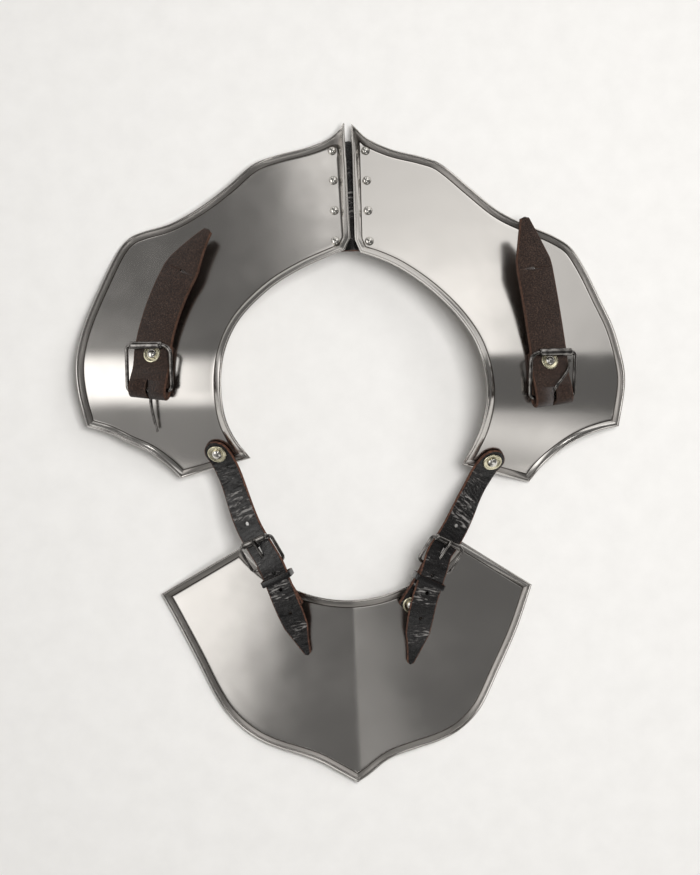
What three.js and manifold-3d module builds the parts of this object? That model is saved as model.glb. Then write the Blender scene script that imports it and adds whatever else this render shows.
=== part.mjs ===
// A steel gorget that lies open on its edges: two shoulder plates that meet behind the neck on a leather hinge,
// a keeled front plate, two straps that buckle the front plate on, and two open buckle straps on the shoulders.
// x runs across the wearer, y towards the back of the neck and z up. Lengths are millimetres, angles degrees.
import * as THREE from "three";
import Module from "manifold-3d";
import { mergeVertices } from "three/addons/utils/BufferGeometryUtils.js";

const wasm = await Module();
wasm.setup();

// Steel sheet and its turned rims
const SHEET = 1.2;
const RIM_WIDTH = 5;
const RIM_TURN = 40;
const END_TURN = 6;
const RIM_HIGH = 40;
const HEM_WIDTH = 1.3;
const HEM_DROP = 0.4;

// Shoulder plates
const PLATE_REACH = 180;
const PLATE_LENGTH = 236;
const BACK_LENGTH = 169;
const CROWN_HEIGHT = 66;
const BACK_BEND = [
  { radius: 60, turn: 19 },
  { radius: 1500, turn: 6 },
];
const FRONT_BEND = [
  { radius: 55, turn: 24 },
  { radius: 120, turn: 20 },
];
const SIDE_SLOPE = 6;
const SIDE_RADIUS = 520;

// Front plate, in its own frame with its origin where the keel meets the neck edge
const KEEL_LENGTH = 120;
const FRONT_REACH = 122;
const FRONT_NECK_RADIUS = 88;
const FRONT_NECK_SPREAD = 54;
const FRONT_NECK_FOOT = 2.7;
const KEEL_HEIGHT = 30;
const KEEL_SLOPE = 12.8;
const FLANK_SLOPE = 6.5;
const FLANK_RADIUS = 470;
const FLANK_EASE = 0.35;
const FRONT_X = 3.3;
const FRONT_Y = -145.4;
const FRONT_TURN = 1.9;

// Leather and clearances
const GAP = 0.35;
const SEAT_GAP = 0.5;
const RUNNING = 0.3;
// Room for the shoulder buckles' bars in their folds, over the rivets under their rollers and under a prong
const FOLD_ROOM = 1.7;
const HEAD_ROOM = 3.4;
const PRONG_ROOM = 1.3;
const HINGE_LEATHER = 2;
const HINGE_WIDTH = 33;
const HINGE_START = 0.13;
const HINGE_END = 0.99;
const SHOULDER_LEATHER = 2.4;
const SHOULDER_STRAP = 26;
const FRONT_LEATHER = 2;
const FRONT_STRAP = 17.5;
const CHAPE_LEATHER = 1.6;
const CHAPE_WIDTH = 15;

// Rivets: the head's radius and height, the shank's radius and the washer under the head
const HINGE_RIVET = { head: 2.9, rise: 2, shank: 1.4, tail: 1 };
const STRAP_RIVET = { head: 3.1, rise: 1.8, shank: 1.4, tail: 1, washer: 5.7, wall: 0.8 };
const FRONT_RIVET = { head: 3.4, rise: 1.9, shank: 1.4, tail: 1, washer: 6.3, wall: 0.9 };
const HINGE_RIVETS = 4;
const HINGE_RIVET_OUT = 10.9;
const HINGE_SPINE_TOP = 0.5;
const HINGE_SPINE_FOOT = 3.8;
const HINGE_RIVET_FIRST = 0.215;
const HINGE_RIVET_LAST = 0.93;

// Buckles: wire and roller radii, the clear width inside the frame, the reach from bar to roller, the corners'
// radii, of which the wide one is beside the roller, and the prong's radius and the length of its eye
const SHOULDER_BUCKLE = {
  wire: 1.25, roller: 2.5, inside: 28.2, reach: 29, corner: 2.6, wide: 6, prong: 1.1, eye: 3.6,
};
const FRONT_BUCKLE = {
  wire: 1.1, roller: 2.1, inside: 21, reach: 19, corner: 2.6, wide: 2.6, prong: 0.9, eye: 3,
};
const EYE_WALL = 1.1;
const PRONG_TAPER = 0.3;
const SLOT_LENGTH = 9;
const KEEPER_LENGTH = 3.8;
const KEEPER_WALL = 1;

// Fineness of the facets
const ROUND = 8;
const WIRE_SIDES = 6;
const HOLE_SIDES = 6;
const ARC_STEPS = 3;
const FOLD_STEPS = 5;
const LOWER_STEPS = 7;
const HINGE_STEPS = 7;
const TAIL_STEPS = 11;
const AIR_STEPS = 7;
const OUTER_STEPS = 22;
const SCALLOP_STEPS = 5;
const ACROSS_STEPS = 6;
const FLANK_STEPS = 11;

const rad = THREE.MathUtils.degToRad;
const SIDES = { left: -1, right: 1 };

const steel = (color, roughness) => new THREE.MeshStandardMaterial({ color, roughness, metalness: 1 });
const hide = (color, roughness) => new THREE.MeshStandardMaterial({ color, roughness, metalness: 0 });
const BRUSHED = steel(0xa9a5a0, 0.32);
const BLACKENED = steel(0x4a4644, 0.4);
const NICKEL = steel(0xc9c4b4, 0.25);
const BROWN = hide(0x3a2c26, 0.9);
const BLACK = hide(0x1e1c1c, 0.5);

// Outlines as shares of the plate's reach and length: out from the spine, down from the tip behind the neck.
const OUTER = {
  left: [
    [0.013, 0.001], [0.033, 0.023], [0.062, 0.042], [0.135, 0.066], [0.245, 0.087], [0.325, 0.107],
    [0.362, 0.125], [0.427, 0.171], [0.536, 0.235], [0.646, 0.281], [0.747, 0.302], [0.792, 0.316],
    [0.828, 0.344], [0.902, 0.462], [0.961, 0.58], [0.981, 0.661], [0.975, 0.739], [0.943, 0.846],
  ],
  right: [
    [0.016, 0.003], [0.029, 0.012], [0.066, 0.039], [0.157, 0.072], [0.267, 0.092], [0.329, 0.107],
    [0.377, 0.133], [0.449, 0.181], [0.558, 0.248], [0.669, 0.287], [0.754, 0.313], [0.817, 0.343],
    [0.864, 0.397], [0.924, 0.493], [0.969, 0.568], [0.999, 0.655], [1.009, 0.716], [0.989, 0.844],
  ],
};
const SCALLOP = {
  left: [[0.943, 0.846], [0.861, 0.864], [0.788, 0.891], [0.715, 0.916], [0.646, 0.955], [0.603, 0.989]],
  right: [[0.989, 0.844], [0.921, 0.856], [0.847, 0.877], [0.775, 0.911], [0.707, 0.957], [0.665, 1.0]],
};
const NECK = {
  left: [
    [-0.013, 0.33], [0.007, 0.364], [0.06, 0.381], [0.168, 0.419], [0.274, 0.471], [0.381, 0.555],
    [0.429, 0.633], [0.445, 0.72], [0.43, 0.828], [0.39, 0.891], [0.345, 0.932],
  ],
  right: [
    [0.027, 0.336], [0.047, 0.371], [0.118, 0.389], [0.19, 0.415], [0.297, 0.472], [0.403, 0.553],
    [0.466, 0.633], [0.498, 0.747], [0.482, 0.839], [0.449, 0.902], [0.413, 0.95],
  ],
};
// The front plate's side from its top corner to the foot of the keel, as shares of its reach and keel.
const FLANK = {
  left: [
    [1.025, -0.075], [0.957, 0.06], [0.851, 0.28], [0.761, 0.48], [0.7, 0.585], [0.622, 0.672],
    [0.518, 0.748], [0.412, 0.795], [0.306, 0.83], [0.2, 0.872], [0.095, 0.934], [0.0, 0.992],
  ],
  right: [
    [0.972, -0.06], [0.888, 0.172], [0.78, 0.402], [0.666, 0.622], [0.555, 0.728], [0.446, 0.78],
    [0.338, 0.812], [0.175, 0.867], [0.065, 0.95], [0.0, 0.992],
  ],
};

// The open buckle straps: where each is riveted, which way its foot and its tail point in plan, how far its buckle
// is turned from the foot and the length of its tail.
const SHOULDER_STRAPS = {
  left: { out: 0.686, down: 0.654, foot: 3.5, yaw: -6, start: 9, end: 40, tail: 86.5 },
  right: { out: 0.714, down: 0.67, foot: -4, yaw: 6, start: -7, end: -12, tail: 91 },
};
// The buckled straps: where each is riveted to its shoulder and its chape to the front plate, and how they point.
const FRONT_STRAPS = {
  left: { out: 0.463, down: 0.914, leave: 36, chapeOut: -0.321, chapeDown: -0.027, chape: -26 },
  right: { out: 0.521, down: 0.936, leave: -43, chapeOut: 0.31, chapeDown: 0, chape: 26.9 },
};
// The buckled strap over its chape: run from the chape's rivet towards the bar, sideways shift and height.
const BILLET = {
  run: [1.34, 1, 0.82, 0.66, 0.4, 0.15, -0.2, -0.55, -0.9, -1.3],
  height: [11.4, 13.6, 13.3, 12.3, 11.4, 10.8, 9.6, 6.4, 3.6, 2.5],
  left: [1.5, 2.8, 2.4, 1.5, 0.6, -0.3, -1.3, -2.9, -4.4, -5.2],
  right: [-1.5, -0.4, 0.5, 1.7, 3.2, 4.8, 7.9, 11.8, 15.2, 18.0],
};
// The prongs of the open buckles: run from the bar, height over the plate or the strap, and sideways shift.
const PRONG_OUT = { run: [-8, -17, -25.6], height: [2.6, 1.4, 0] };
const PRONG_IN = {
  run: [1.6, 6.5, 11, 16, 21],
  height: [1.4, 5.2, 5.0, 4.4, 4.2],
  aside: [0, -0.4, -5, -9.5, -11.4],
};
// The front buckles' prongs: share of the reach and share of the height over the roller
const PRONG_LAID = [[0.084, 0.12], [0.42, 0.18], [0.816, 0.8], [1, 1.075], [1.16, 1]];
const BILLET_HOLES = [2, 4, 6];
const BILLET_TAPER = 2.2;
// The buckled straps on the shoulders: run past the rivet and lift from the plate
const STRAP_REST = [[-8, 0], [-3, 0], [2, 0], [6, 0.4], [9.5, 1.6]];
// The open straps: from rivet to bar, from rivet to the end of the lower layer, and the tail
const FOOT_LENGTH = 21.5;
const LOWER_LENGTH = 9;
// The upper layer from the bar to past the rivet: share of the way to the bar and share of the fold's rise.
const FOLD_FALL = [[0.82, 0.85], [0.62, 0.5], [0.42, 0.12], [0.2, 0], [0, 0], [-0.2, 0]];
const TAIL_SLOPE = -5;
const TAIL_EASE = 1.6;
const TAPER_LENGTH = 30;
const TIP_SHARE = 0.24;
const TAIL_HOLE = 0.64;
const TAIL_HOLE_RADIUS = 1.2;
const STRAP_HOLE_RADIUS = 1.4;
const RIVET_DEPTH = 9;
// The chapes: from rivet to bar, their slope up to it, the share of their length that climbs and their stations
const CHAPE_LENGTH = 28;
const CHAPE_RISE = 15;
const CHAPE_CLIMB = 0.75;
const CHAPE = [-0.2, 0, 0.12, 0.22, 0.34, 0.46, 0.58, 0.8];
const ROLLER_DIP = 1.8;
const KEEPER_PLACE = 0.66;
const KEEPER_ROOM = 1.6;

// The height lost over a run that starts level, bends along arcs and then goes on straight.
function bend(run, arcs) {
  let slope = 0;
  let drop = 0;
  let left = run;
  for (const { radius, turn } of arcs) {
    const next = slope + rad(turn);
    const span = radius * (Math.sin(next) - Math.sin(slope));
    if (left <= span) {
      const here = Math.asin(Math.sin(slope) + left / radius);
      return drop + radius * (Math.cos(slope) - Math.cos(here));
    }
    drop += radius * (Math.cos(slope) - Math.cos(next));
    left -= span;
    slope = next;
  }
  return drop + left * Math.tan(slope);
}

// The upper face of the shoulder plates and of the front plate over any place in plan.
function shoulderHeight(x, y) {
  const fall = bend(Math.abs(y), y > 0 ? BACK_BEND : FRONT_BEND);
  return CROWN_HEIGHT - fall - Math.abs(x) * Math.tan(rad(SIDE_SLOPE)) - (x * x) / (2 * SIDE_RADIUS);
}

function frontLocal(x, y) {
  return new THREE.Vector2(x - FRONT_X, y - FRONT_Y).rotateAround(new THREE.Vector2(), -rad(FRONT_TURN));
}

function frontPlan(out, down) {
  const place = new THREE.Vector2(out * FRONT_REACH, -down * KEEL_LENGTH);
  return place.rotateAround(new THREE.Vector2(), rad(FRONT_TURN)).add(new THREE.Vector2(FRONT_X, FRONT_Y));
}

function frontHeight(x, y) {
  const at = frontLocal(x, y);
  const flank = Math.abs(at.x) * Math.tan(rad(FLANK_SLOPE)) + (at.x * at.x) / (2 * FLANK_RADIUS);
  const ease = 1 + (FLANK_EASE * at.y) / KEEL_LENGTH;
  return KEEL_HEIGHT + at.y * Math.tan(rad(KEEL_SLOPE)) - flank * ease;
}

const shoulderPlan = (side, [out, down]) =>
  new THREE.Vector2(SIDES[side] * out * PLATE_REACH, BACK_LENGTH - down * PLATE_LENGTH);

// A place on a surface with its upward normal.
function onSurface(height, x, y) {
  const step = 0.5;
  const dx = (height(x + step, y) - height(x - step, y)) / (2 * step);
  const dy = (height(x, y + step) - height(x, y - step)) / (2 * step);
  return { point: new THREE.Vector3(x, y, height(x, y)), up: new THREE.Vector3(-dx, -dy, 1).normalize() };
}

// A closed body from points and polygons, turned so that its faces look out.
function body(points, polygons) {
  const index = [];
  for (const face of polygons)
    for (let i = 1; i + 1 < face.length; i++) index.push(face[0], face[i], face[i + 1]);
  let volume = 0;
  for (let i = 0; i < index.length; i += 3) {
    const [a, b, c] = [points[index[i]], points[index[i + 1]], points[index[i + 2]]];
    volume += a.dot(new THREE.Vector3().crossVectors(b, c));
  }
  if (volume < 0) index.reverse();
  const geometry = new THREE.BufferGeometry().setFromPoints(points);
  geometry.setIndex(index);
  return geometry;
}

// A spline through plan points, as evenly spaced points.
function spline(places, steps) {
  const points = places.map((p) => new THREE.Vector3(p.x, p.y, 0));
  const curve = new THREE.CatmullRomCurve3(points, false, "centripetal");
  return curve.getSpacedPoints(steps).map((p) => new THREE.Vector2(p.x, p.y));
}

const straight = (a, b, steps) =>
  Array.from({ length: steps + 1 }, (_, i) => new THREE.Vector2().lerpVectors(a, b, i / steps));

// The way in from each point of a closed outline, long enough at a corner to keep the rim's width.
function mitres(loop) {
  const count = loop.length;
  const area = loop.reduce((sum, p, i) => sum + p.cross(loop[(i + 1) % count]), 0);
  const inward = (a, b) => new THREE.Vector2(a.y - b.y, b.x - a.x).normalize().multiplyScalar(Math.sign(area));
  return loop.map((p, i) => {
    const before = inward(loop[(i + count - 1) % count], p);
    const after = inward(p, loop[(i + 1) % count]);
    return before.clone().add(after).divideScalar(1 + before.dot(after));
  });
}

// A sheet steel plate between four sides that follow each other round it, with its edges turned up as a rim.
function plate(sides, turns, height) {
  const loop = sides.flatMap((side) => side.slice(0, -1));
  const turn = sides.flatMap((side, s) =>
    side.slice(0, -1).map((_, i) => (i ? turns[s] : (turns[s] + turns[(s + 3) % 4]) / 2)),
  );
  const inward = mitres(loop);
  const count = loop.length;
  const points = [];
  const faces = [];
  for (const depth of [0, HEM_WIDTH, RIM_WIDTH]) {
    loop.forEach((p, i) => {
      const crease = p.clone().addScaledVector(inward[i], RIM_WIDTH);
      const fall = Math.atan2(height(p.x, p.y) - height(crease.x, crease.y), p.distanceTo(crease));
      const tilt = Math.min(fall + rad(turn[i]), rad(RIM_HIGH));
      const rise = (RIM_WIDTH - depth) * Math.tan(tilt) - (depth ? 0 : HEM_DROP);
      const at = p.clone().addScaledVector(inward[i], depth);
      points.push(new THREE.Vector3(at.x, at.y, height(crease.x, crease.y) + rise));
    });
  }
  for (const ring of [0, count])
    for (let i = 0; i < count; i++)
      faces.push([ring + i, ring + ((i + 1) % count), ring + count + ((i + 1) % count), ring + count + i]);

  const across = sides[0].length - 1;
  const along = sides[1].length - 1;
  const crease = (i) => 2 * count + ((i + count) % count);
  const bottom = (i) => crease(i);
  const top = (i) => crease(2 * across + along - i);
  const first = (j) => crease(-j);
  const last = (j) => crease(across + j);
  const inside = (i, j) => {
    const u = i / across;
    const v = j / along;
    const sum = new THREE.Vector3();
    sum.addScaledVector(points[bottom(i)], 1 - v).addScaledVector(points[top(i)], v);
    sum.addScaledVector(points[first(j)], 1 - u).addScaledVector(points[last(j)], u);
    sum.addScaledVector(points[bottom(0)], -(1 - u) * (1 - v)).addScaledVector(points[bottom(across)], -u * (1 - v));
    sum.addScaledVector(points[top(0)], -(1 - u) * v).addScaledVector(points[top(across)], -u * v);
    return points.push(new THREE.Vector3(sum.x, sum.y, height(sum.x, sum.y))) - 1;
  };
  const grid = [];
  for (let j = 0; j <= along; j++) {
    const row = [];
    for (let i = 0; i <= across; i++) {
      if (j === 0) row.push(bottom(i));
      else if (j === along) row.push(top(i));
      else if (i === 0) row.push(first(j));
      else if (i === across) row.push(last(j));
      else row.push(inside(i, j));
    }
    grid.push(row);
  }
  for (let j = 0; j < along; j++)
    for (let i = 0; i < across; i++)
      faces.push([grid[j][i], grid[j][i + 1], grid[j + 1][i + 1], grid[j + 1][i]]);
  return thicken(points, faces, count, SHEET);
}

// A sheet given its thickness below its points; the first points in the list are its outline.
function thicken(points, faces, outline, thickness) {
  const normals = points.map(() => new THREE.Vector3());
  for (const face of faces) {
    const [a, b, c, d] = face.map((i) => points[i]);
    const normal = new THREE.Vector3().crossVectors(c.clone().sub(a), d.clone().sub(b));
    if (normal.z < 0) normal.negate();
    for (const i of face) normals[i].add(normal);
  }
  const below = points.map((p, i) => p.clone().addScaledVector(normals[i].normalize(), -thickness));
  const count = points.length;
  const edge = Array.from({ length: outline }, (_, i) => {
    const next = (i + 1) % outline;
    return [next, i, count + i, count + next];
  });
  const under = faces.map((face) => face.map((i) => count + i).reverse());
  return body([...points, ...below], [...faces, ...under, ...edge]);
}

// A strip of leather through stations, each with its centre, upward direction and width.
function strip(stations, thickness) {
  const points = [];
  const faces = [];
  stations.forEach(({ point, up, width }, i) => {
    const ahead = stations[Math.min(i + 1, stations.length - 1)].point;
    const behind = stations[Math.max(i - 1, 0)].point;
    const along = ahead.clone().sub(behind).normalize();
    const side = new THREE.Vector3().crossVectors(along, up).normalize();
    const out = new THREE.Vector3().crossVectors(side, along);
    for (const [across, over] of [[-1, -1], [1, -1], [1, 1], [-1, 1]])
      points.push(
        point
          .clone()
          .addScaledVector(side, (across * width) / 2)
          .addScaledVector(out, (over * thickness) / 2),
      );
  });
  for (let i = 0; i + 1 < stations.length; i++)
    for (let k = 0; k < 4; k++) {
      const next = (k + 1) % 4;
      faces.push([4 * i + k, 4 * i + next, 4 * i + 4 + next, 4 * i + 4 + k]);
    }
  const end = 4 * (stations.length - 1);
  faces.push([3, 2, 1, 0], [end, end + 1, end + 2, end + 3]);
  return body(points, faces);
}

// A round wire through points, closed on itself or tapered with a cap at both ends.
function wire(path, radii, closed) {
  const points = [];
  const faces = [];
  const count = path.length;
  const at = (i) => (closed ? path[(i + count) % count] : path[THREE.MathUtils.clamp(i, 0, count - 1)]);
  path.forEach((p, i) => {
    const along = at(i + 1).clone().sub(at(i - 1)).normalize();
    const side = new THREE.Vector3().crossVectors(along, new THREE.Vector3(0, 1, 0)).normalize();
    const over = new THREE.Vector3().crossVectors(side, along);
    const into = p.clone().sub(at(i - 1)).normalize();
    const onward = at(i + 1).clone().sub(p).normalize();
    const widen = closed ? 1 / Math.sqrt((1 + into.dot(onward)) / 2) : 1;
    for (let k = 0; k < WIRE_SIDES; k++) {
      const angle = (2 * Math.PI * (k + 0.5)) / WIRE_SIDES;
      points.push(
        p
          .clone()
          .addScaledVector(side, radii[i % radii.length] * widen * Math.cos(angle))
          .addScaledVector(over, radii[i % radii.length] * Math.sin(angle)),
      );
    }
  });
  for (let i = 0; i < (closed ? count : count - 1); i++)
    for (let k = 0; k < WIRE_SIDES; k++) {
      const next = (k + 1) % WIRE_SIDES;
      const ahead = ((i + 1) % count) * WIRE_SIDES;
      faces.push([i * WIRE_SIDES + k, i * WIRE_SIDES + next, ahead + next, ahead + k]);
    }
  if (!closed) {
    const ring = Array.from({ length: WIRE_SIDES }, (_, k) => k);
    faces.push([...ring].reverse(), ring.map((k) => (count - 1) * WIRE_SIDES + k));
  }
  return body(points, faces);
}

// A turned body round the z axis, from a profile of radius and height.
function turned(profile, segments = ROUND) {
  const lathe = new THREE.LatheGeometry(
    profile.map(([r, h]) => new THREE.Vector2(r, h)),
    segments,
  );
  lathe.rotateX(Math.PI / 2);
  return clean(lathe);
}

// The same geometry with shared corners, no empty triangles and its faces looking out.
function clean(geometry) {
  const bare = geometry.clone();
  for (const name of Object.keys(bare.attributes)) if (name !== "position") bare.deleteAttribute(name);
  const merged = mergeVertices(bare, 1e-4);
  const position = merged.attributes.position;
  const points = Array.from({ length: position.count }, (_, i) => new THREE.Vector3().fromBufferAttribute(position, i));
  const faces = [];
  for (let i = 0; i < merged.index.count; i += 3) {
    const face = [0, 1, 2].map((k) => merged.index.getX(i + k));
    if (new Set(face).size === 3) faces.push(face);
  }
  return body(points, faces);
}

function toSolid(geometry) {
  return new wasm.Manifold(
    new wasm.Mesh({
      numProp: 3,
      vertProperties: new Float32Array(geometry.attributes.position.array),
      triVerts: new Uint32Array(geometry.index.array),
    }),
  );
}

function toGeometry(solid) {
  const mesh = solid.getMesh();
  const geometry = new THREE.BufferGeometry();
  geometry.setAttribute("position", new THREE.Float32BufferAttribute(mesh.vertProperties, mesh.numProp));
  geometry.setIndex([...mesh.triVerts]);
  return geometry;
}

const without = (geometry, tools) =>
  toGeometry(tools.reduce((solid, tool) => solid.subtract(toSolid(tool)), toSolid(geometry)));
const joined = (a, b) => toGeometry(toSolid(a).add(toSolid(b)));

// A frame with its z axis along up and its x axis near the way that along points.
function frameAt(point, up, along) {
  const y = new THREE.Vector3().crossVectors(up, along).normalize();
  const x = new THREE.Vector3().crossVectors(y, up);
  return new THREE.Matrix4().makeBasis(x, y, up.clone().normalize()).setPosition(point);
}

const placed = (geometry, frame) => geometry.clone().applyMatrix4(frame);
const heading = (degrees) => new THREE.Vector2(Math.sin(rad(degrees)), Math.cos(rad(degrees)));
const gorget = new THREE.Group();

// Adds a piece to the gorget, made in place or stood in its own frame.
function add(name, geometry, material, frame = new THREE.Matrix4()) {
  const mesh = new THREE.Mesh(geometry, material);
  mesh.name = name;
  mesh.applyMatrix4(frame);
  gorget.add(mesh);
}

// A rivet over a stack: its round head above the stack and its spread tail below it.
function rivetBody({ head, rise, shank, tail }, stack) {
  const under = -stack - GAP;
  return turned([
    [0, under - tail],
    [shank * 1.7, under - tail],
    [shank * 1.7, under],
    [shank, under],
    [shank, GAP],
    [head, GAP],
    [head * 0.75, GAP + rise * 0.68],
    [0, GAP + rise],
  ]);
}

function washerBody({ washer, wall, shank }) {
  return turned([
    [shank + RUNNING, 0],
    [washer, 0],
    [washer * 0.9, wall],
    [shank + RUNNING, wall],
    [shank + RUNNING, 0],
  ]);
}

const holeTool = (radius, depth) => {
  const tool = new THREE.CylinderGeometry(radius, radius, 2 * depth, HOLE_SIDES);
  return clean(tool.rotateX(Math.PI / 2));
};

// The leather hinge under both shoulder plates, with its rivets
const steelHoles = { left: [], right: [], front: [] };
const hingeHoles = [];
const hingeUnder = SHEET + SEAT_GAP;
const spineAt = (share) => THREE.MathUtils.lerp(HINGE_SPINE_TOP, HINGE_SPINE_FOOT, share);
for (const side of Object.keys(SIDES)) {
  for (let i = 0; i < HINGE_RIVETS; i++) {
    const share = HINGE_RIVET_FIRST + ((HINGE_RIVET_LAST - HINGE_RIVET_FIRST) * i) / (HINGE_RIVETS - 1);
    const x = SIDES[side] * HINGE_RIVET_OUT + spineAt(share);
    const y = BACK_LENGTH - share * NECK.left[1][1] * PLATE_LENGTH;
    const seat = onSurface(shoulderHeight, x, y);
    const frame = frameAt(seat.point, seat.up, new THREE.Vector3(0, 1, 0));
    add(`hinge_rivet_${side}_${i + 1}`, rivetBody(HINGE_RIVET, hingeUnder + HINGE_LEATHER), NICKEL, frame);
    const hole = placed(holeTool(HINGE_RIVET.shank + RUNNING, hingeUnder + 2 * HINGE_LEATHER), frame);
    steelHoles[side].push(hole);
    hingeHoles.push(hole);
  }
}
const hingeColumns = [-1, -0.15, 0.15, 1];
const hingePoints = [];
const hingeFaces = [];
const hingeGrid = [];
for (let j = 0; j <= HINGE_STEPS; j++)
  for (let i = 0; i < hingeColumns.length; i++) {
    const share = HINGE_START + ((HINGE_END - HINGE_START) * j) / HINGE_STEPS;
    const x = (hingeColumns[i] * HINGE_WIDTH) / 2 + spineAt(share);
    const y = BACK_LENGTH - share * NECK.left[1][1] * PLATE_LENGTH;
    hingeGrid.push(new THREE.Vector3(x, y, shoulderHeight(x, y) - hingeUnder));
  }
// The outline comes first, round the grid, and then the points inside it.
const hingeAt = (i, j) => j * hingeColumns.length + i;
const hingeLast = hingeColumns.length - 1;
const hingeOrder = [
  ...hingeColumns.slice(1).map((_, i) => hingeAt(i, 0)),
  ...Array.from({ length: HINGE_STEPS }, (_, j) => hingeAt(hingeLast, j)),
  ...hingeColumns.slice(1).map((_, i) => hingeAt(hingeLast - i, HINGE_STEPS)),
  ...Array.from({ length: HINGE_STEPS }, (_, j) => hingeAt(0, HINGE_STEPS - j)),
];
const hingeOutline = hingeOrder.length;
hingeGrid.forEach((_, i) => hingeOrder.includes(i) || hingeOrder.push(i));
hingeOrder.forEach((i) => hingePoints.push(hingeGrid[i]));
for (let j = 0; j < HINGE_STEPS; j++)
  for (let i = 0; i < hingeLast; i++)
    hingeFaces.push(
      [hingeAt(i, j), hingeAt(i + 1, j), hingeAt(i + 1, j + 1), hingeAt(i, j + 1)].map((k) => hingeOrder.indexOf(k)),
    );
add("hinge_leather", without(thicken(hingePoints, hingeFaces, hingeOutline, HINGE_LEATHER), hingeHoles), BLACK);

// The buckle parts in the buckle's own frame: the bar along y, the roller out along x and z up. The wide corner
// beside the roller is at +y where side is 1.
function buckleFrame({ wire: r, inside, reach, corner, wide }, side) {
  const half = inside / 2 + r;
  const [plus, minus] = side > 0 ? [wide, corner] : [corner, wide];
  const path = [];
  for (const [radius, out, sign, start] of [
    [corner, corner, 1, 90],
    [plus, reach - plus, 1, 0],
    [minus, reach - minus, -1, -90],
    [corner, corner, -1, -180],
  ])
    for (let k = 0; k <= ARC_STEPS; k++) {
      const angle = rad(start + 90 - (90 * k) / ARC_STEPS);
      const y = sign * (half - radius) + radius * Math.sin(angle);
      path.push(new THREE.Vector3(out + radius * Math.cos(angle), y, 0));
    }
  return wire(path.map((p) => new THREE.Vector3(p.x, p.z, p.y)), [r], true).rotateX(-Math.PI / 2);
}

function rollerBody({ wire: r, roller, inside, corner, wide }, side) {
  const half = inside / 2 + r;
  const [plus, minus] = side > 0 ? [wide, corner] : [corner, wide];
  const inner = r + RUNNING;
  const [from, to] = [plus - half, half - minus];
  const profile = [[inner, from], [roller, from], [roller, to], [inner, to], [inner, from]];
  return turned(profile).rotateX(Math.PI / 2);
}

function prongBody({ wire: r, prong, eye }, path) {
  const inner = r + RUNNING;
  const outer = inner + EYE_WALL;
  const half = eye / 2;
  const ring = turned([[inner, -half], [outer, -half], [outer, half], [inner, half], [inner, -half]]).rotateX(Math.PI / 2);
  const radii = path.map((_, i) => prong * (1 - (PRONG_TAPER * i) / (path.length - 1)));
  return joined(ring, wire(path, radii, false));
}

// A strap's foot folded round its buckle's bar: stations below the bar, round it and back above it.
function fold(bar, along, up, radius, width) {
  const stations = [];
  for (let k = 0; k <= FOLD_STEPS; k++) {
    const angle = (Math.PI * k) / FOLD_STEPS;
    const out = up.clone().multiplyScalar(-Math.cos(angle)).addScaledVector(along, -Math.sin(angle));
    stations.push({ point: bar.clone().addScaledVector(out, radius), up: out.clone().negate(), width });
  }
  return stations;
}

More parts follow.
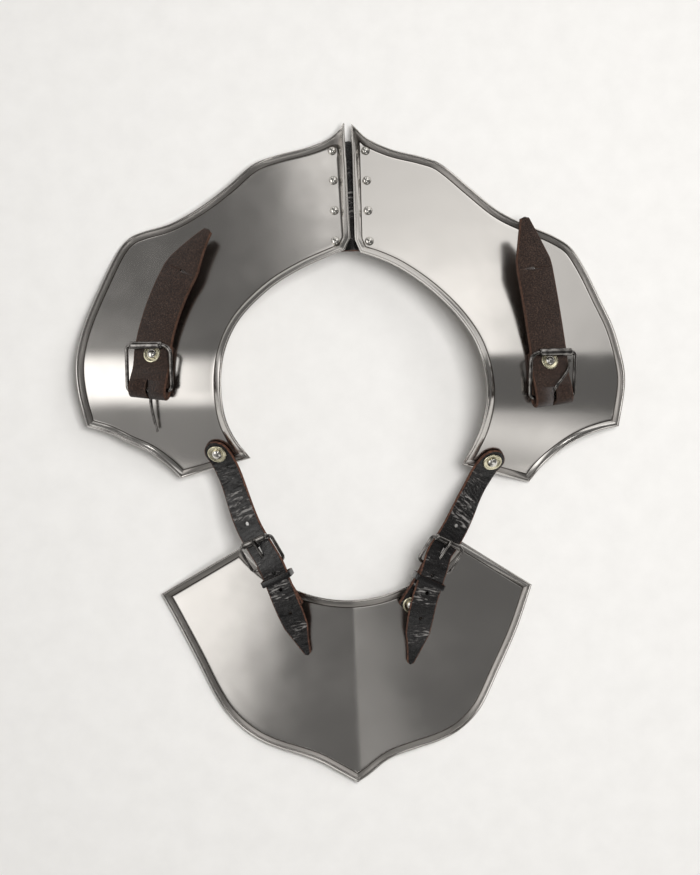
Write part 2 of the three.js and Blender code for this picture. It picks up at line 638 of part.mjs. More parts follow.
// The open buckle straps on the shoulders
for (const side of Object.keys(SIDES)) {
  const row = SHOULDER_STRAPS[side];
  const buckle = SHOULDER_BUCKLE;
  const leather = SHOULDER_LEATHER;
  const origin = shoulderPlan(side, [row.out, row.down]);
  const seatAt = (run) => {
    const plan = origin.clone().addScaledVector(heading(row.foot), run);
    return onSurface(shoulderHeight, plan.x, plan.y);
  };
  const raised = (run, height) => {
    const seat = seatAt(run);
    return seat.point.clone().addScaledVector(seat.up, height);
  };
  const low = SEAT_GAP + leather / 2;
  const barHeight = SEAT_GAP + leather + buckle.wire + FOLD_ROOM;
  const foldRadius = buckle.wire + FOLD_ROOM + leather / 2;
  const high = low + leather + GAP;
  const barSeat = seatAt(-FOOT_LENGTH);
  const bar = raised(-FOOT_LENGTH, barHeight);
  const level = heading(row.foot);
  const sideways = new THREE.Vector3(level.y, -level.x, 0);
  const along = new THREE.Vector3().crossVectors(barSeat.up, sideways).normalize();
  const across = new THREE.Vector3().crossVectors(along, barSeat.up).normalize();
  const stations = [];
  for (let i = 0; i < LOWER_STEPS; i++) {
    const run = LOWER_LENGTH - ((LOWER_LENGTH + FOOT_LENGTH) * i) / LOWER_STEPS;
    stations.push({ point: raised(run, low), up: seatAt(run).up, width: SHOULDER_STRAP });
  }
  stations.push(...fold(bar, along, barSeat.up, foldRadius, SHOULDER_STRAP));
  for (const [share, lift] of FOLD_FALL) {
    const run = -FOOT_LENGTH * share;
    const top = high + lift * (barHeight + foldRadius - high);
    stations.push({ point: raised(run, top), up: seatAt(run).up.negate(), width: SHOULDER_STRAP });
  }
  // The tail leaves the crown along the plate's slope there and levels out in the air.
  const last = stations[stations.length - 1].point.clone();
  const before = stations[stations.length - 2].point;
  const leave = last.clone().sub(before);
  const startSlope = THREE.MathUtils.radToDeg(Math.atan2(leave.z, Math.hypot(leave.x, leave.y)));
  const pace = row.tail / TAIL_STEPS;
  const point = last;
  const holes = [];
  for (let i = 1; i <= TAIL_STEPS; i++) {
    const share = (i - 0.5) / TAIL_STEPS;
    const plan = heading(row.start + (row.end - row.start) * share);
    const slope = rad(startSlope + (TAIL_SLOPE - startSlope) * Math.min(1, share * TAIL_EASE));
    const step = new THREE.Vector3(plan.x * Math.cos(slope), plan.y * Math.cos(slope), Math.sin(slope));
    point.addScaledVector(step, pace);
    const remains = row.tail * (1 - i / TAIL_STEPS);
    const taper = TIP_SHARE + (1 - TIP_SHARE) * Math.min(1, remains / TAPER_LENGTH);
    const up = onSurface(shoulderHeight, point.x, point.y).up;
    if (i === Math.round(TAIL_STEPS * TAIL_HOLE))
      holes.push(placed(holeTool(TAIL_HOLE_RADIUS, 2 * leather), frameAt(point, up, step)));
    stations.push({ point: point.clone(), up: up.negate(), width: SHOULDER_STRAP * taper });
  }
  const seat = seatAt(0);
  const topOfStack = high + leather / 2;
  const rivetFrame = frameAt(raised(0, topOfStack + GAP + STRAP_RIVET.wall), seat.up, along);
  const stack = topOfStack + 3 * GAP + STRAP_RIVET.wall + SHEET;
  holes.push(placed(holeTool(STRAP_RIVET.shank + RUNNING, stack), rivetFrame));
  steelHoles[side].push(holes[holes.length - 1]);
  // The buckle is turned a little from the strap, as far as the room in the fold lets its bar turn.
  const barAlong = along.clone().applyAxisAngle(barSeat.up, -rad(row.yaw));
  const barAcross = new THREE.Vector3().crossVectors(barAlong, barSeat.up);
  const barFrame = new THREE.Matrix4().makeBasis(barAlong, barAcross.clone().negate(), barSeat.up).setPosition(bar);
  const slotSize = [2 * foldRadius + SLOT_LENGTH, buckle.eye + 2 * RUNNING, 2 * (foldRadius + leather)];
  const slot = new THREE.BoxGeometry(...slotSize).translate(SLOT_LENGTH / 5, 0, 0);
  holes.push(placed(clean(slot), barFrame));
  add(`shoulder_strap_${side}`, without(strip(stations, leather), holes), BROWN);
  add(`shoulder_rivet_${side}`, rivetBody(STRAP_RIVET, stack - GAP), NICKEL, rivetFrame);
  const washerFrame = frameAt(raised(0, topOfStack + GAP), seat.up, along);
  add(`shoulder_washer_${side}`, washerBody(STRAP_RIVET), NICKEL, washerFrame);
  // The frame leans on the strap at its roller; the bar stays in the fold.
  const rollerHeight = topOfStack + STRAP_RIVET.wall + buckle.roller + HEAD_ROOM;
  const roller = raised(-FOOT_LENGTH + buckle.reach, rollerHeight);
  const lean = roller.clone().sub(bar).projectOnPlane(barAcross).normalize();
  const leanUp = new THREE.Vector3().crossVectors(barAcross, lean).normalize();
  const leanFrame = new THREE.Matrix4().makeBasis(lean, barAcross.clone().negate(), leanUp).setPosition(bar);
  add(`shoulder_buckle_${side}`, buckleFrame(buckle, SIDES[side]), BLACKENED, leanFrame);
  const rollerPlace = leanFrame.clone().multiply(new THREE.Matrix4().makeTranslation(buckle.reach, 0, 0));
  add(`shoulder_roller_${side}`, rollerBody(buckle, SIDES[side]), BLACKENED, rollerPlace);
  // One prong hangs out over the plate and the other lies inside its frame, over the strap.
  const toBar = barFrame.clone().invert();
  const prongAt = (run, height) => raised(-FOOT_LENGTH + run, height).applyMatrix4(toBar).setY(0);
  const outward = PRONG_OUT.run.map((run, i) => prongAt(run, PRONG_OUT.height[i] + PRONG_ROOM + buckle.prong));
  const inward = PRONG_IN.run.map((run, i) => prongAt(run, PRONG_IN.height[i] + topOfStack).setY(PRONG_IN.aside[i]));
  const prongPath = { left: [new THREE.Vector3(-1.8, 0, 0), ...outward], right: inward }[side];
  add(`shoulder_prong_${side}`, prongBody(buckle, prongPath), BLACKENED, barFrame);
}

// The buckled straps, each from its shoulder rivet through the buckle and keeper to its tip on the front plate
for (const side of Object.keys(SIDES)) {
  const row = FRONT_STRAPS[side];
  const buckle = FRONT_BUCKLE;
  const foot = frontPlan(row.chapeOut, row.chapeDown);
  const way = heading(row.chape);
  const beside = new THREE.Vector2(way.y, -way.x);
  const seatAt = (run, aside) => {
    const plan = foot.clone().addScaledVector(way, run).addScaledVector(beside, aside);
    return onSurface(frontHeight, plan.x, plan.y);
  };
  const over = (run, aside, height) => {
    const seat = seatAt(run, aside);
    return seat.point.clone().addScaledVector(seat.up, height);
  };
  const low = SEAT_GAP + CHAPE_LEATHER / 2;
  const climb = Math.tan(rad(CHAPE_RISE));
  const climbed = (run) => THREE.MathUtils.clamp(run / CHAPE_LENGTH - CHAPE[0], 0, CHAPE_CLIMB);
  const lower = (run) => low + climb * CHAPE_LENGTH * climbed(run);
  const foldRadius = buckle.wire + RUNNING + CHAPE_LEATHER / 2;
  const layers = CHAPE_LEATHER + GAP;
  const barHeight = lower(CHAPE_LENGTH) + foldRadius;
  const bar = over(CHAPE_LENGTH, 0, barHeight);
  const up = seatAt(CHAPE_LENGTH, 0).up;
  const sideways = new THREE.Vector3(beside.x, beside.y, 0);
  const along = new THREE.Vector3().crossVectors(up, sideways).normalize();
  const across = new THREE.Vector3().crossVectors(along, up).normalize();
  const chape = [];
  for (const share of CHAPE)
    chape.push({
      point: over(share * CHAPE_LENGTH, 0, lower(share * CHAPE_LENGTH)),
      up: seatAt(share * CHAPE_LENGTH, 0).up,
      width: CHAPE_WIDTH,
    });
  chape.push(...fold(bar, along.clone().negate(), up, foldRadius, CHAPE_WIDTH));
  for (const share of CHAPE.toReversed()) {
    const apart = THREE.MathUtils.lerp(layers, 2 * foldRadius, THREE.MathUtils.smoothstep(share, 0.55, 1));
    chape.push({
      point: over(share * CHAPE_LENGTH, 0, lower(share * CHAPE_LENGTH) + apart),
      up: seatAt(share * CHAPE_LENGTH, 0).up.negate(),
      width: CHAPE_WIDTH,
    });
  }
  const barFrame = new THREE.Matrix4().makeBasis(along, across.clone().negate(), up).setPosition(bar);
  const slotSize = [2 * foldRadius + SLOT_LENGTH, buckle.eye + 2 * RUNNING, 3 * (foldRadius + CHAPE_LEATHER)];
  const slot = new THREE.BoxGeometry(...slotSize).translate(-RUNNING, 0, 0);
  const top = layers + CHAPE_LEATHER / 2 + GAP;
  const chapeUp = seatAt(0, 0).up.addScaledVector(along, -climb).normalize();
  const onChape = (height) => over(0, 0, lower(0)).addScaledVector(chapeUp, height);
  const chapeRivet = frameAt(onChape(top + STRAP_RIVET.wall), chapeUp, along);
  const chapeHole = placed(holeTool(STRAP_RIVET.shank + RUNNING, RIVET_DEPTH), chapeRivet);
  steelHoles.front.push(chapeHole);
  add(`chape_${side}`, without(strip(chape, CHAPE_LEATHER), [placed(clean(slot), barFrame), chapeHole]), BLACK);
  add(`chape_washer_${side}`, washerBody(STRAP_RIVET), NICKEL, frameAt(onChape(top), chapeUp, along));
  const chapeStack = lower(0) + top + STRAP_RIVET.wall + SHEET + 3 * GAP;
  add(`chape_rivet_${side}`, rivetBody(STRAP_RIVET, chapeStack), NICKEL, chapeRivet);

  // The frame is held by its bar in the chape and rises over the strap that passes under its roller.
  const underRoller = BILLET.height[0] - ROLLER_DIP;
  const rollerHeight = underRoller + FRONT_LEATHER / 2 + 2 * GAP + buckle.roller;
  const aim = over(CHAPE_LENGTH + buckle.reach, 0, rollerHeight);
  const lean = aim.clone().sub(bar).projectOnPlane(across).normalize();
  const leanUp = new THREE.Vector3().crossVectors(across, lean).normalize();
  const leanFrame = new THREE.Matrix4().makeBasis(lean, across.clone().negate(), leanUp).setPosition(bar);
  add(`front_buckle_${side}`, buckleFrame(buckle, SIDES[side]), BLACKENED, leanFrame);
  const rollerPlace = leanFrame.clone().multiply(new THREE.Matrix4().makeTranslation(buckle.reach, 0, 0));
  add(`front_roller_${side}`, rollerBody(buckle, SIDES[side]), BLACKENED, rollerPlace);
  const rest = buckle.roller + GAP + buckle.prong;
  const prongPoints = PRONG_LAID.map(([out, lift]) => new THREE.Vector3(out * buckle.reach, 0, lift * rest));
  add(`front_prong_${side}`, prongBody(buckle, prongPoints), BLACKENED, leanFrame);

  // The strap: on the steep front of the shoulder, through the air, under the roller and down over the chape.
  const start = shoulderPlan(side, [row.out, row.down]);
  const down = heading(row.leave).multiply(new THREE.Vector2(1, -1));
  const onShoulder = (run) => {
    const plan = start.clone().addScaledVector(down, run);
    return onSurface(shoulderHeight, plan.x, plan.y);
  };
  const strap = [];
  const strapLow = SEAT_GAP + FRONT_LEATHER / 2;
  for (const [run, extra] of STRAP_REST) {
    const seat = onShoulder(run);
    strap.push({
      point: seat.point.clone().addScaledVector(seat.up, strapLow + extra),
      up: seat.up,
      width: FRONT_STRAP,
    });
  }
  const rollerRun = CHAPE_LENGTH + buckle.reach;
  const entry = over(rollerRun, 0, underRoller);
  const from = strap[strap.length - 1];
  const fromWay = from.point.clone().sub(strap[strap.length - 2].point).normalize();
  const toWay = over(BILLET.run[0] * CHAPE_LENGTH, BILLET[side][0], BILLET.height[0]).sub(entry).normalize();
  const span = from.point.distanceTo(entry);
  const air = new THREE.CubicBezierCurve3(
    from.point,
    from.point.clone().addScaledVector(fromWay, span * 0.3),
    entry.clone().addScaledVector(toWay, -span * 0.36),
    entry,
  );
  for (let i = 1; i <= AIR_STEPS; i++) {
    const share = i / AIR_STEPS;
    const turnedUp = from.up.clone().lerp(seatAt(rollerRun, 0).up, THREE.MathUtils.smoothstep(share, 0, 0.8));
    strap.push({ point: air.getPointAt(share), up: turnedUp, width: FRONT_STRAP });
  }
  BILLET.run.forEach((share, i) => {
    const seat = seatAt(share * CHAPE_LENGTH, BILLET[side][i]);
    const remains = (BILLET.run.length - 1 - i) / BILLET_TAPER;
    const taper = TIP_SHARE + (1 - TIP_SHARE) * Math.min(1, remains);
    strap.push({
      point: seat.point.clone().addScaledVector(seat.up, BILLET.height[i]),
      up: seat.up,
      width: FRONT_STRAP * taper,
    });
  });
  const strapSeat = onShoulder(0);
  const strapTop = strapLow + FRONT_LEATHER / 2 + GAP;
  const strapAt = (height) => strapSeat.point.clone().addScaledVector(strapSeat.up, height);
  const strapRivet = frameAt(strapAt(strapTop + FRONT_RIVET.wall), strapSeat.up, new THREE.Vector3(down.x, down.y, 0));
  const strapHole = placed(holeTool(FRONT_RIVET.shank + RUNNING, RIVET_DEPTH), strapRivet);
  steelHoles[side].push(strapHole);
  const prongSize = [0.74 * buckle.reach, 2 * (buckle.prong + RUNNING), RIVET_DEPTH];
  const prongSlot = clean(new THREE.BoxGeometry(...prongSize).translate(0.55 * buckle.reach, 0, 2));
  const strapCuts = [strapHole, placed(prongSlot, leanFrame)];
  for (const index of BILLET_HOLES) {
    const place = over(BILLET.run[index] * CHAPE_LENGTH, BILLET[side][index], BILLET.height[index]);
    strapCuts.push(placed(holeTool(STRAP_HOLE_RADIUS, 2 * FRONT_LEATHER), frameAt(place, up, along)));
  }
  add(`front_strap_${side}`, without(strip(strap, FRONT_LEATHER), strapCuts), BLACK);
  add(`front_washer_${side}`, washerBody(FRONT_RIVET), NICKEL, frameAt(strapAt(strapTop), strapSeat.up, along));
  const frontStack = strapTop + FRONT_RIVET.wall + SHEET;
  add(`front_rivet_${side}`, rivetBody(FRONT_RIVET, frontStack), NICKEL, strapRivet);

  // The keeper is a flat band round the chape and the strap.
  const keeperRun = KEEPER_PLACE * CHAPE_LENGTH;
  const keeperIndex = BILLET.run.indexOf(KEEPER_PLACE);
  const shift = BILLET[side][keeperIndex];
  const reachOut = (sign) => {
    const strapEdge = sign * shift + FRONT_STRAP / 2;
    return Math.max(strapEdge, CHAPE_WIDTH / 2) + KEEPER_ROOM;
  };
  const floor = lower(keeperRun) - CHAPE_LEATHER / 2 - KEEPER_ROOM / 2;
  const roof = BILLET.height[keeperIndex] + FRONT_LEATHER / 2 + KEEPER_ROOM;
  const ring = new THREE.Shape();
  const rectangle = (path, grow) => {
    path.moveTo(-reachOut(1) - grow, floor - grow);
    path.lineTo(reachOut(-1) + grow, floor - grow);
    path.lineTo(reachOut(-1) + grow, roof + grow);
    path.lineTo(-reachOut(1) - grow, roof + grow);
    path.closePath();
    return path;
  };
  rectangle(ring, KEEPER_WALL);
  ring.holes.push(rectangle(new THREE.Path(), 0));
  const band = new THREE.ExtrudeGeometry(ring, { depth: KEEPER_LENGTH, bevelEnabled: false });
  band.translate(0, 0, -KEEPER_LENGTH / 2).applyMatrix4(new THREE.Matrix4().makeBasis(
    new THREE.Vector3(0, 1, 0), new THREE.Vector3(0, 0, 1), new THREE.Vector3(1, 0, 0)));
  const keeperSeat = seatAt(keeperRun, 0);
  const keeperFrame = frameAt(keeperSeat.point, keeperSeat.up, along);
  add(`keeper_${side}`, clean(band), BLACK, keeperFrame);
}

// The steel plates with their rivet holes
for (const side of Object.keys(SIDES)) {
  const outer = spline(OUTER[side].map((p) => shoulderPlan(side, p)), OUTER_STEPS);
  const scallop = spline(SCALLOP[side].map((p) => shoulderPlan(side, p)), SCALLOP_STEPS);
  const neck = spline(NECK[side].slice(1).map((p) => shoulderPlan(side, p)), OUTER_STEPS + SCALLOP_STEPS);
  const tip = outer[0];
  const end = scallop[scallop.length - 1];
  const ends = straight(neck[neck.length - 1], end, ACROSS_STEPS);
  const round = [...outer, ...scallop.slice(1)].reverse();
  const hinge = [
    ...straight(tip, shoulderPlan(side, NECK[side][0]), ACROSS_STEPS - 1),
    neck[0],
  ];
  const sides = [neck, ends, round, hinge];
  const blank = plate(sides, [RIM_TURN, END_TURN, RIM_TURN, RIM_TURN], shoulderHeight);
  add(`shoulder_plate_${side}`, without(blank, steelHoles[side]), BRUSHED);
}
const neckCentre = FRONT_NECK_FOOT + FRONT_NECK_RADIUS;
const neckArc = Array.from({ length: 2 * FLANK_STEPS + 1 }, (_, i) => {
  const angle = rad(FRONT_NECK_SPREAD * (i / FLANK_STEPS - 1));
  const out = (FRONT_NECK_RADIUS * Math.sin(angle)) / FRONT_REACH;
  return frontPlan(out, (FRONT_NECK_RADIUS * Math.cos(angle) - neckCentre) / KEEL_LENGTH);
});
const flankPlaces = (side) => FLANK[side].map(([out, down]) => frontPlan(SIDES[side] * out, down));
const rightFlank = spline(flankPlaces("right"), FLANK_STEPS);
const leftFlank = spline(flankPlaces("left"), FLANK_STEPS);
const frontSides = [
  neckArc,
  straight(neckArc[2 * FLANK_STEPS], rightFlank[0], ACROSS_STEPS),
  [...rightFlank, ...leftFlank.slice(0, -1).reverse()],
  straight(leftFlank[0], neckArc[0], ACROSS_STEPS),
];
const frontBlank = plate(frontSides, [RIM_TURN, RIM_TURN, RIM_TURN, RIM_TURN], frontHeight);
add("front_plate", without(frontBlank, steelHoles.front), BRUSHED);

// The gorget stands on its lowest edge, centred over the origin.
const box = new THREE.Box3().setFromObject(gorget, true);
const middle = box.getCenter(new THREE.Vector3());
gorget.position.set(-middle.x, -middle.y, -box.min.z);

export default gorget;
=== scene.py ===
"""A steel gorget that lies open on a pale floor, seen from straight above in soft studio light.

Lengths are millimetres in the frame in which the plates are drawn, and metres once a piece is made.
"""

import math

import bpy
import numpy as np
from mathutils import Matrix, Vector, noise


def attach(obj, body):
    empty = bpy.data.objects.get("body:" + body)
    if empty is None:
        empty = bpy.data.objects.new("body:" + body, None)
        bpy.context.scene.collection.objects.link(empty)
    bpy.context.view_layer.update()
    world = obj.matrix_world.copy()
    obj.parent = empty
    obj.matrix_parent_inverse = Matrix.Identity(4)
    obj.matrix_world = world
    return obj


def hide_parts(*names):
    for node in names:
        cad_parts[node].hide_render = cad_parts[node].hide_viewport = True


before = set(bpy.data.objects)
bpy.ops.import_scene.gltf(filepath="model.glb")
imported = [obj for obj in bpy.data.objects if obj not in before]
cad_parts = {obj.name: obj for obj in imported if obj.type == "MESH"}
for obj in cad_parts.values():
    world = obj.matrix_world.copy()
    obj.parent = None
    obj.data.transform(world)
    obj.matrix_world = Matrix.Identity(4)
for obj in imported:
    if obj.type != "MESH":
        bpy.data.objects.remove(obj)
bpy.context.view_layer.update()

MM = 0.001
SHIFT = np.array([-2.391, 47.898, -0.461])

# Steel sheet and its turned rims
SHEET = 1.2
RIM_WIDTH = 5.0
RIM_TURN = 40
END_TURN = 6
RIM_HIGH = 40
HEM_SHARE = 0.27
INSIDE_SHARE = 1.2
# Shares of the rim's width from the edge in, and how far each ring stands off the straight flange.
RIM_PROFILE = [
    (0.0, -0.75), (0.02, -0.35), (0.06, 0.0), (0.12, 0.2), (0.18, 0.22), (0.24, 0.08), (HEM_SHARE, 0.02),
    (0.32, 0.14), (0.42, 0.3), (0.55, 0.4), (0.68, 0.38), (0.8, 0.28), (0.9, 0.16), (0.97, 0.08),
    (1.05, 0.04), (INSIDE_SHARE, 0.0),
]
# The lines of painted shade along a rim's creases: the middle of each in shares of the rim's width, and half
# its width.
RIM_CREASES = ((HEM_SHARE + 0.02, 0.03), (0.97, 0.05))
CORNER_EASE = 7
# The plates' slight waves: their height, the length and share of each kind, their seeds, and the grid
# cells from the rim over which they fade in.
PLATE_SWAY = 0.13
SWAYS = ((38, 1.0), (17, 0.5))
SWAY_SEEDS = (4.2, 9.1)
SWAY_MARGIN = 5

# Shoulder plates
PLATE_REACH = 180
PLATE_LENGTH = 236
BACK_LENGTH = 169
CROWN_HEIGHT = 66
BACK_BEND = [(60, 19), (1500, 6)]
FRONT_BEND = [(55, 24), (120, 20)]
SIDE_SLOPE = 6
SIDE_RADIUS = 520

# Front plate
KEEL_LENGTH = 120
FRONT_REACH = 122
FRONT_NECK_RADIUS = 88
FRONT_NECK_SPREAD = 54
FRONT_NECK_FOOT = 2.7
KEEL_HEIGHT = 30
KEEL_SLOPE = 12.8
KEEL_ROUND = 0.6
FLANK_SLOPE = 6.5
FLANK_RADIUS = 470
FLANK_EASE = 0.35
FRONT_PLACE = np.array([3.3, -145.4])
FRONT_TURN = 1.9

# Leather and clearances
GAP = 0.35
SEAT_GAP = 0.5
RUNNING = 0.3
FOLD_ROOM = 1.7
HEAD_ROOM = 3.4
PRONG_ROOM = 1.3
HINGE_LEATHER = 2.0
HINGE_WIDTH = 33
HINGE_START = 0.13
HINGE_END = 0.99
SHOULDER_LEATHER = 2.4
SHOULDER_STRAP = 26.0
FRONT_LEATHER = 2.0
FRONT_STRAP = 17.5
CHAPE_LEATHER = 1.6
CHAPE_WIDTH = 15.0
HINGE_RIVETS = 4
HINGE_RIVET_OUT = 10.9
HINGE_SPINE = (0.5, 3.8)
HINGE_RIVET_SHARES = (0.215, 0.93)
HINGE_RIVET = {"head": 2.9, "rise": 2.25}
STRAP_RIVET = {"head": 3.1, "rise": 2.1, "washer": 5.7}
FRONT_RIVET = {"head": 3.4, "rise": 2.2, "washer": 6.3}
WASHER_WALL = 0.8
EDGE_ROUND = 0.8
SHOULDER_BUCKLE = {
    "wire": 1.25, "roller": 2.5, "inside": 28.2, "reach": 29, "corner": 2.8, "wide": 6, "prong": 1.2,
}
FRONT_BUCKLE = {
    "wire": 1.1, "roller": 2.1, "inside": 21, "reach": 19, "corner": 2.8, "wide": 2.8, "prong": 1.0,
}
KEEPER_LENGTH = 3.8
KEEPER_WALL = 1.0
KEEPER_ROOM = 1.6
KEEPER_CORNER = 1.6

SIDES = {"left": -1, "right": 1}
OUTER = {
    "left": [
        (0.013, 0.001), (0.033, 0.023), (0.062, 0.042), (0.135, 0.066), (0.245, 0.087), (0.325, 0.107),
        (0.362, 0.125), (0.427, 0.171), (0.536, 0.235), (0.646, 0.281), (0.747, 0.302), (0.792, 0.316),
        (0.828, 0.344), (0.902, 0.462), (0.961, 0.58), (0.981, 0.661), (0.975, 0.739), (0.943, 0.846),
    ],
    "right": [
        (0.016, 0.003), (0.029, 0.012), (0.066, 0.039), (0.157, 0.072), (0.267, 0.092), (0.329, 0.107),
        (0.377, 0.133), (0.449, 0.181), (0.558, 0.248), (0.669, 0.287), (0.754, 0.313), (0.817, 0.343),
        (0.864, 0.397), (0.924, 0.493), (0.969, 0.568), (0.999, 0.655), (1.009, 0.716), (0.989, 0.844),
    ],
}
SCALLOP = {
    "left": [(0.943, 0.846), (0.861, 0.864), (0.788, 0.891), (0.715, 0.916), (0.646, 0.955), (0.603, 0.989)],
    "right": [(0.989, 0.844), (0.921, 0.856), (0.847, 0.877), (0.775, 0.911), (0.707, 0.957), (0.665, 1.0)],
}
NECK = {
    "left": [
        (-0.013, 0.33), (0.007, 0.364), (0.06, 0.381), (0.168, 0.419), (0.274, 0.471), (0.381, 0.555),
        (0.429, 0.633), (0.445, 0.72), (0.43, 0.828), (0.39, 0.891), (0.345, 0.932),
    ],
    "right": [
        (0.027, 0.336), (0.047, 0.371), (0.118, 0.389), (0.19, 0.415), (0.297, 0.472), (0.403, 0.553),
        (0.466, 0.633), (0.498, 0.747), (0.482, 0.839), (0.449, 0.902), (0.413, 0.95),
    ],
}
FLANK = {
    "left": [
        (1.025, -0.075), (0.957, 0.06), (0.851, 0.28), (0.761, 0.48), (0.7, 0.585), (0.622, 0.672),
        (0.518, 0.748), (0.412, 0.795), (0.306, 0.83), (0.2, 0.872), (0.095, 0.934), (0.0, 0.992),
    ],
    "right": [
        (0.972, -0.06), (0.888, 0.172), (0.78, 0.402), (0.666, 0.622), (0.555, 0.728), (0.446, 0.78),
        (0.338, 0.812), (0.175, 0.867), (0.065, 0.95), (0.0, 0.992),
    ],
}
SHOULDER_STRAPS = {
    "left": {"out": 0.686, "down": 0.654, "foot": 3.5, "yaw": -6, "start": 9, "end": 40, "tail": 86.5},
    "right": {"out": 0.714, "down": 0.67, "foot": -4, "yaw": 6, "start": -7, "end": -12, "tail": 91},
}
FRONT_STRAPS = {
    "left": {
        "out": 0.463, "down": 0.914, "leave": 36, "chape_out": -0.321, "chape_down": -0.027, "chape": -26,
        "creases": [(0.05, 0.42, 0.8), (0.66, 0.97, 0.4)],
    },
    "right": {
        "out": 0.521, "down": 0.936, "leave": -43, "chape_out": 0.31, "chape_down": 0, "chape": 26.9,
        "creases": [(0.05, 0.36, 0.6), (0.75, 0.97, 0.3)],
    },
}
BILLET = {
    "run": [1.34, 1, 0.82, 0.66, 0.4, 0.15, -0.2, -0.55, -0.9, -1.3],
    "height": [11.4, 13.6, 13.3, 12.3, 11.4, 10.8, 9.6, 6.4, 3.6, 2.5],
    "left": [1.5, 2.8, 2.4, 1.5, 0.6, -0.3, -1.3, -2.9, -4.4, -5.2],
    "right": [-1.5, -0.4, 0.5, 1.7, 3.2, 4.8, 7.9, 11.8, 15.2, 18.0],
}
CREASE_FADE = 0.05
BILLET_HOLES = (2, 4, 6)
AIR_STEPS = 9
AIR_HOLE = 7
ROLLER_DIP = 1.8
HOLE_RADIUS = 1.35
HOLE_DEPTH = 4
TAIL_HOLE_RADIUS = 0.9
TAIL_HOLE_DEPTH = 5
PRONG_OUT = [(-8, 2.6), (-17, 1.4), (-25.6, 0)]
PRONG_IN = [(1.6, 1.4, 0), (6.5, 5.2, -0.4), (11, 5.0, -5), (16, 4.4, -9.5), (21, 4.2, -11.4)]
FOOT_LENGTH = 21.5
TAIL_SLOPE = -5
TAPER_LENGTH = 30
TIP_SHARE = 0.24
TAIL_HOLE = 0.64
CHAPE_LENGTH = 28
CHAPE_RISE = 15
KEEPER_PLACE = 0.66

rad = math.radians


def vec(*values):
    return np.array(values, float)


def unit(v):
    return v / np.linalg.norm(v)


def smoothstep(x, low, high):
    t = min(max((x - low) / (high - low), 0.0), 1.0)
    return t * t * (3 - 2 * t)


# Surfaces
def bend(run, arcs):
    """The height lost over a run that starts level, bends along arcs and then goes on straight."""
    slope, drop, left = 0.0, 0.0, run
    for radius, turn in arcs:
        after = slope + rad(turn)
        span = radius * (math.sin(after) - math.sin(slope))
        if left <= span:
            here = math.asin(math.sin(slope) + left / radius)
            return drop + radius * (math.cos(slope) - math.cos(here))
        drop += radius * (math.cos(slope) - math.cos(after))
        left -= span
        slope = after
    return drop + left * math.tan(slope)


def shoulder_height(x, y):
    fall = bend(abs(y), BACK_BEND if y > 0 else FRONT_BEND)
    return CROWN_HEIGHT - fall - abs(x) * math.tan(rad(SIDE_SLOPE)) - x * x / (2 * SIDE_RADIUS)


def turned_plan(place, degrees):
    c, s = math.cos(rad(degrees)), math.sin(rad(degrees))
    return np.array([place[0] * c - place[1] * s, place[0] * s + place[1] * c])


def front_local(x, y):
    return turned_plan(np.array([x, y]) - FRONT_PLACE, -FRONT_TURN)


def front_plan(out, down):
    return turned_plan((out * FRONT_REACH, -down * KEEL_LENGTH), FRONT_TURN) + FRONT_PLACE


def front_height(x, y):
    at = front_local(x, y)
    across = math.hypot(at[0], KEEL_ROUND) - KEEL_ROUND
    flank = across * math.tan(rad(FLANK_SLOPE)) + at[0] * at[0] / (2 * FLANK_RADIUS)
    ease = 1 + FLANK_EASE * at[1] / KEEL_LENGTH
    return KEEL_HEIGHT + at[1] * math.tan(rad(KEEL_SLOPE)) - flank * ease


def shoulder_plan(side, place):
    return np.array([SIDES[side] * place[0] * PLATE_REACH, BACK_LENGTH - place[1] * PLATE_LENGTH])


def on_surface(height, x, y):
    """A place on a surface with its upward normal."""
    step = 0.5
    dx = (height(x + step, y) - height(x - step, y)) / (2 * step)
    dy = (height(x, y + step) - height(x, y - step)) / (2 * step)
    return vec(x, y, height(x, y)), unit(vec(-dx, -dy, 1))


# Curves
def catmull(places, per=24):
    """Many points of a centripetal spline through places."""
    p = [np.array(q, float) for q in places]
    p = [2 * p[0] - p[1]] + p + [2 * p[-1] - p[-2]]
    out = []
    for i in range(1, len(p) - 2):
        a, b, c, d = p[i - 1 : i + 3]
        da, db, dc = (max(np.linalg.norm(v) ** 0.5, 1e-4) for v in (b - a, c - b, d - c))
        m = ((b - a) / da - (c - a) / (da + db) + (c - b) / db) * db
        n = ((c - b) / db - (d - b) / (db + dc) + (d - c) / dc) * db
        for k in range(per):
            t = k / per
            out.append(
                (2 * t**3 - 3 * t**2 + 1) * b + (t**3 - 2 * t**2 + t) * m
                + (3 * t**2 - 2 * t**3) * c + (t**3 - t**2) * n
            )
    out.append(p[-2])
    return np.array(out)


def spaced(line, steps):
    """A polyline as evenly spaced points."""
    line = np.asarray(line, float)
    lengths = np.r_[0, np.cumsum(np.linalg.norm(np.diff(line, axis=0), axis=1))]
    at = np.linspace(0, lengths[-1], steps + 1)
    return np.stack([np.interp(at, lengths, line[:, k]) for k in range(line.shape[1])], axis=1)


def straight(a, b, steps):
    return np.linspace(a, b, steps + 1)


def heading(degrees):
    return np.array([math.sin(rad(degrees)), math.cos(rad(degrees))])


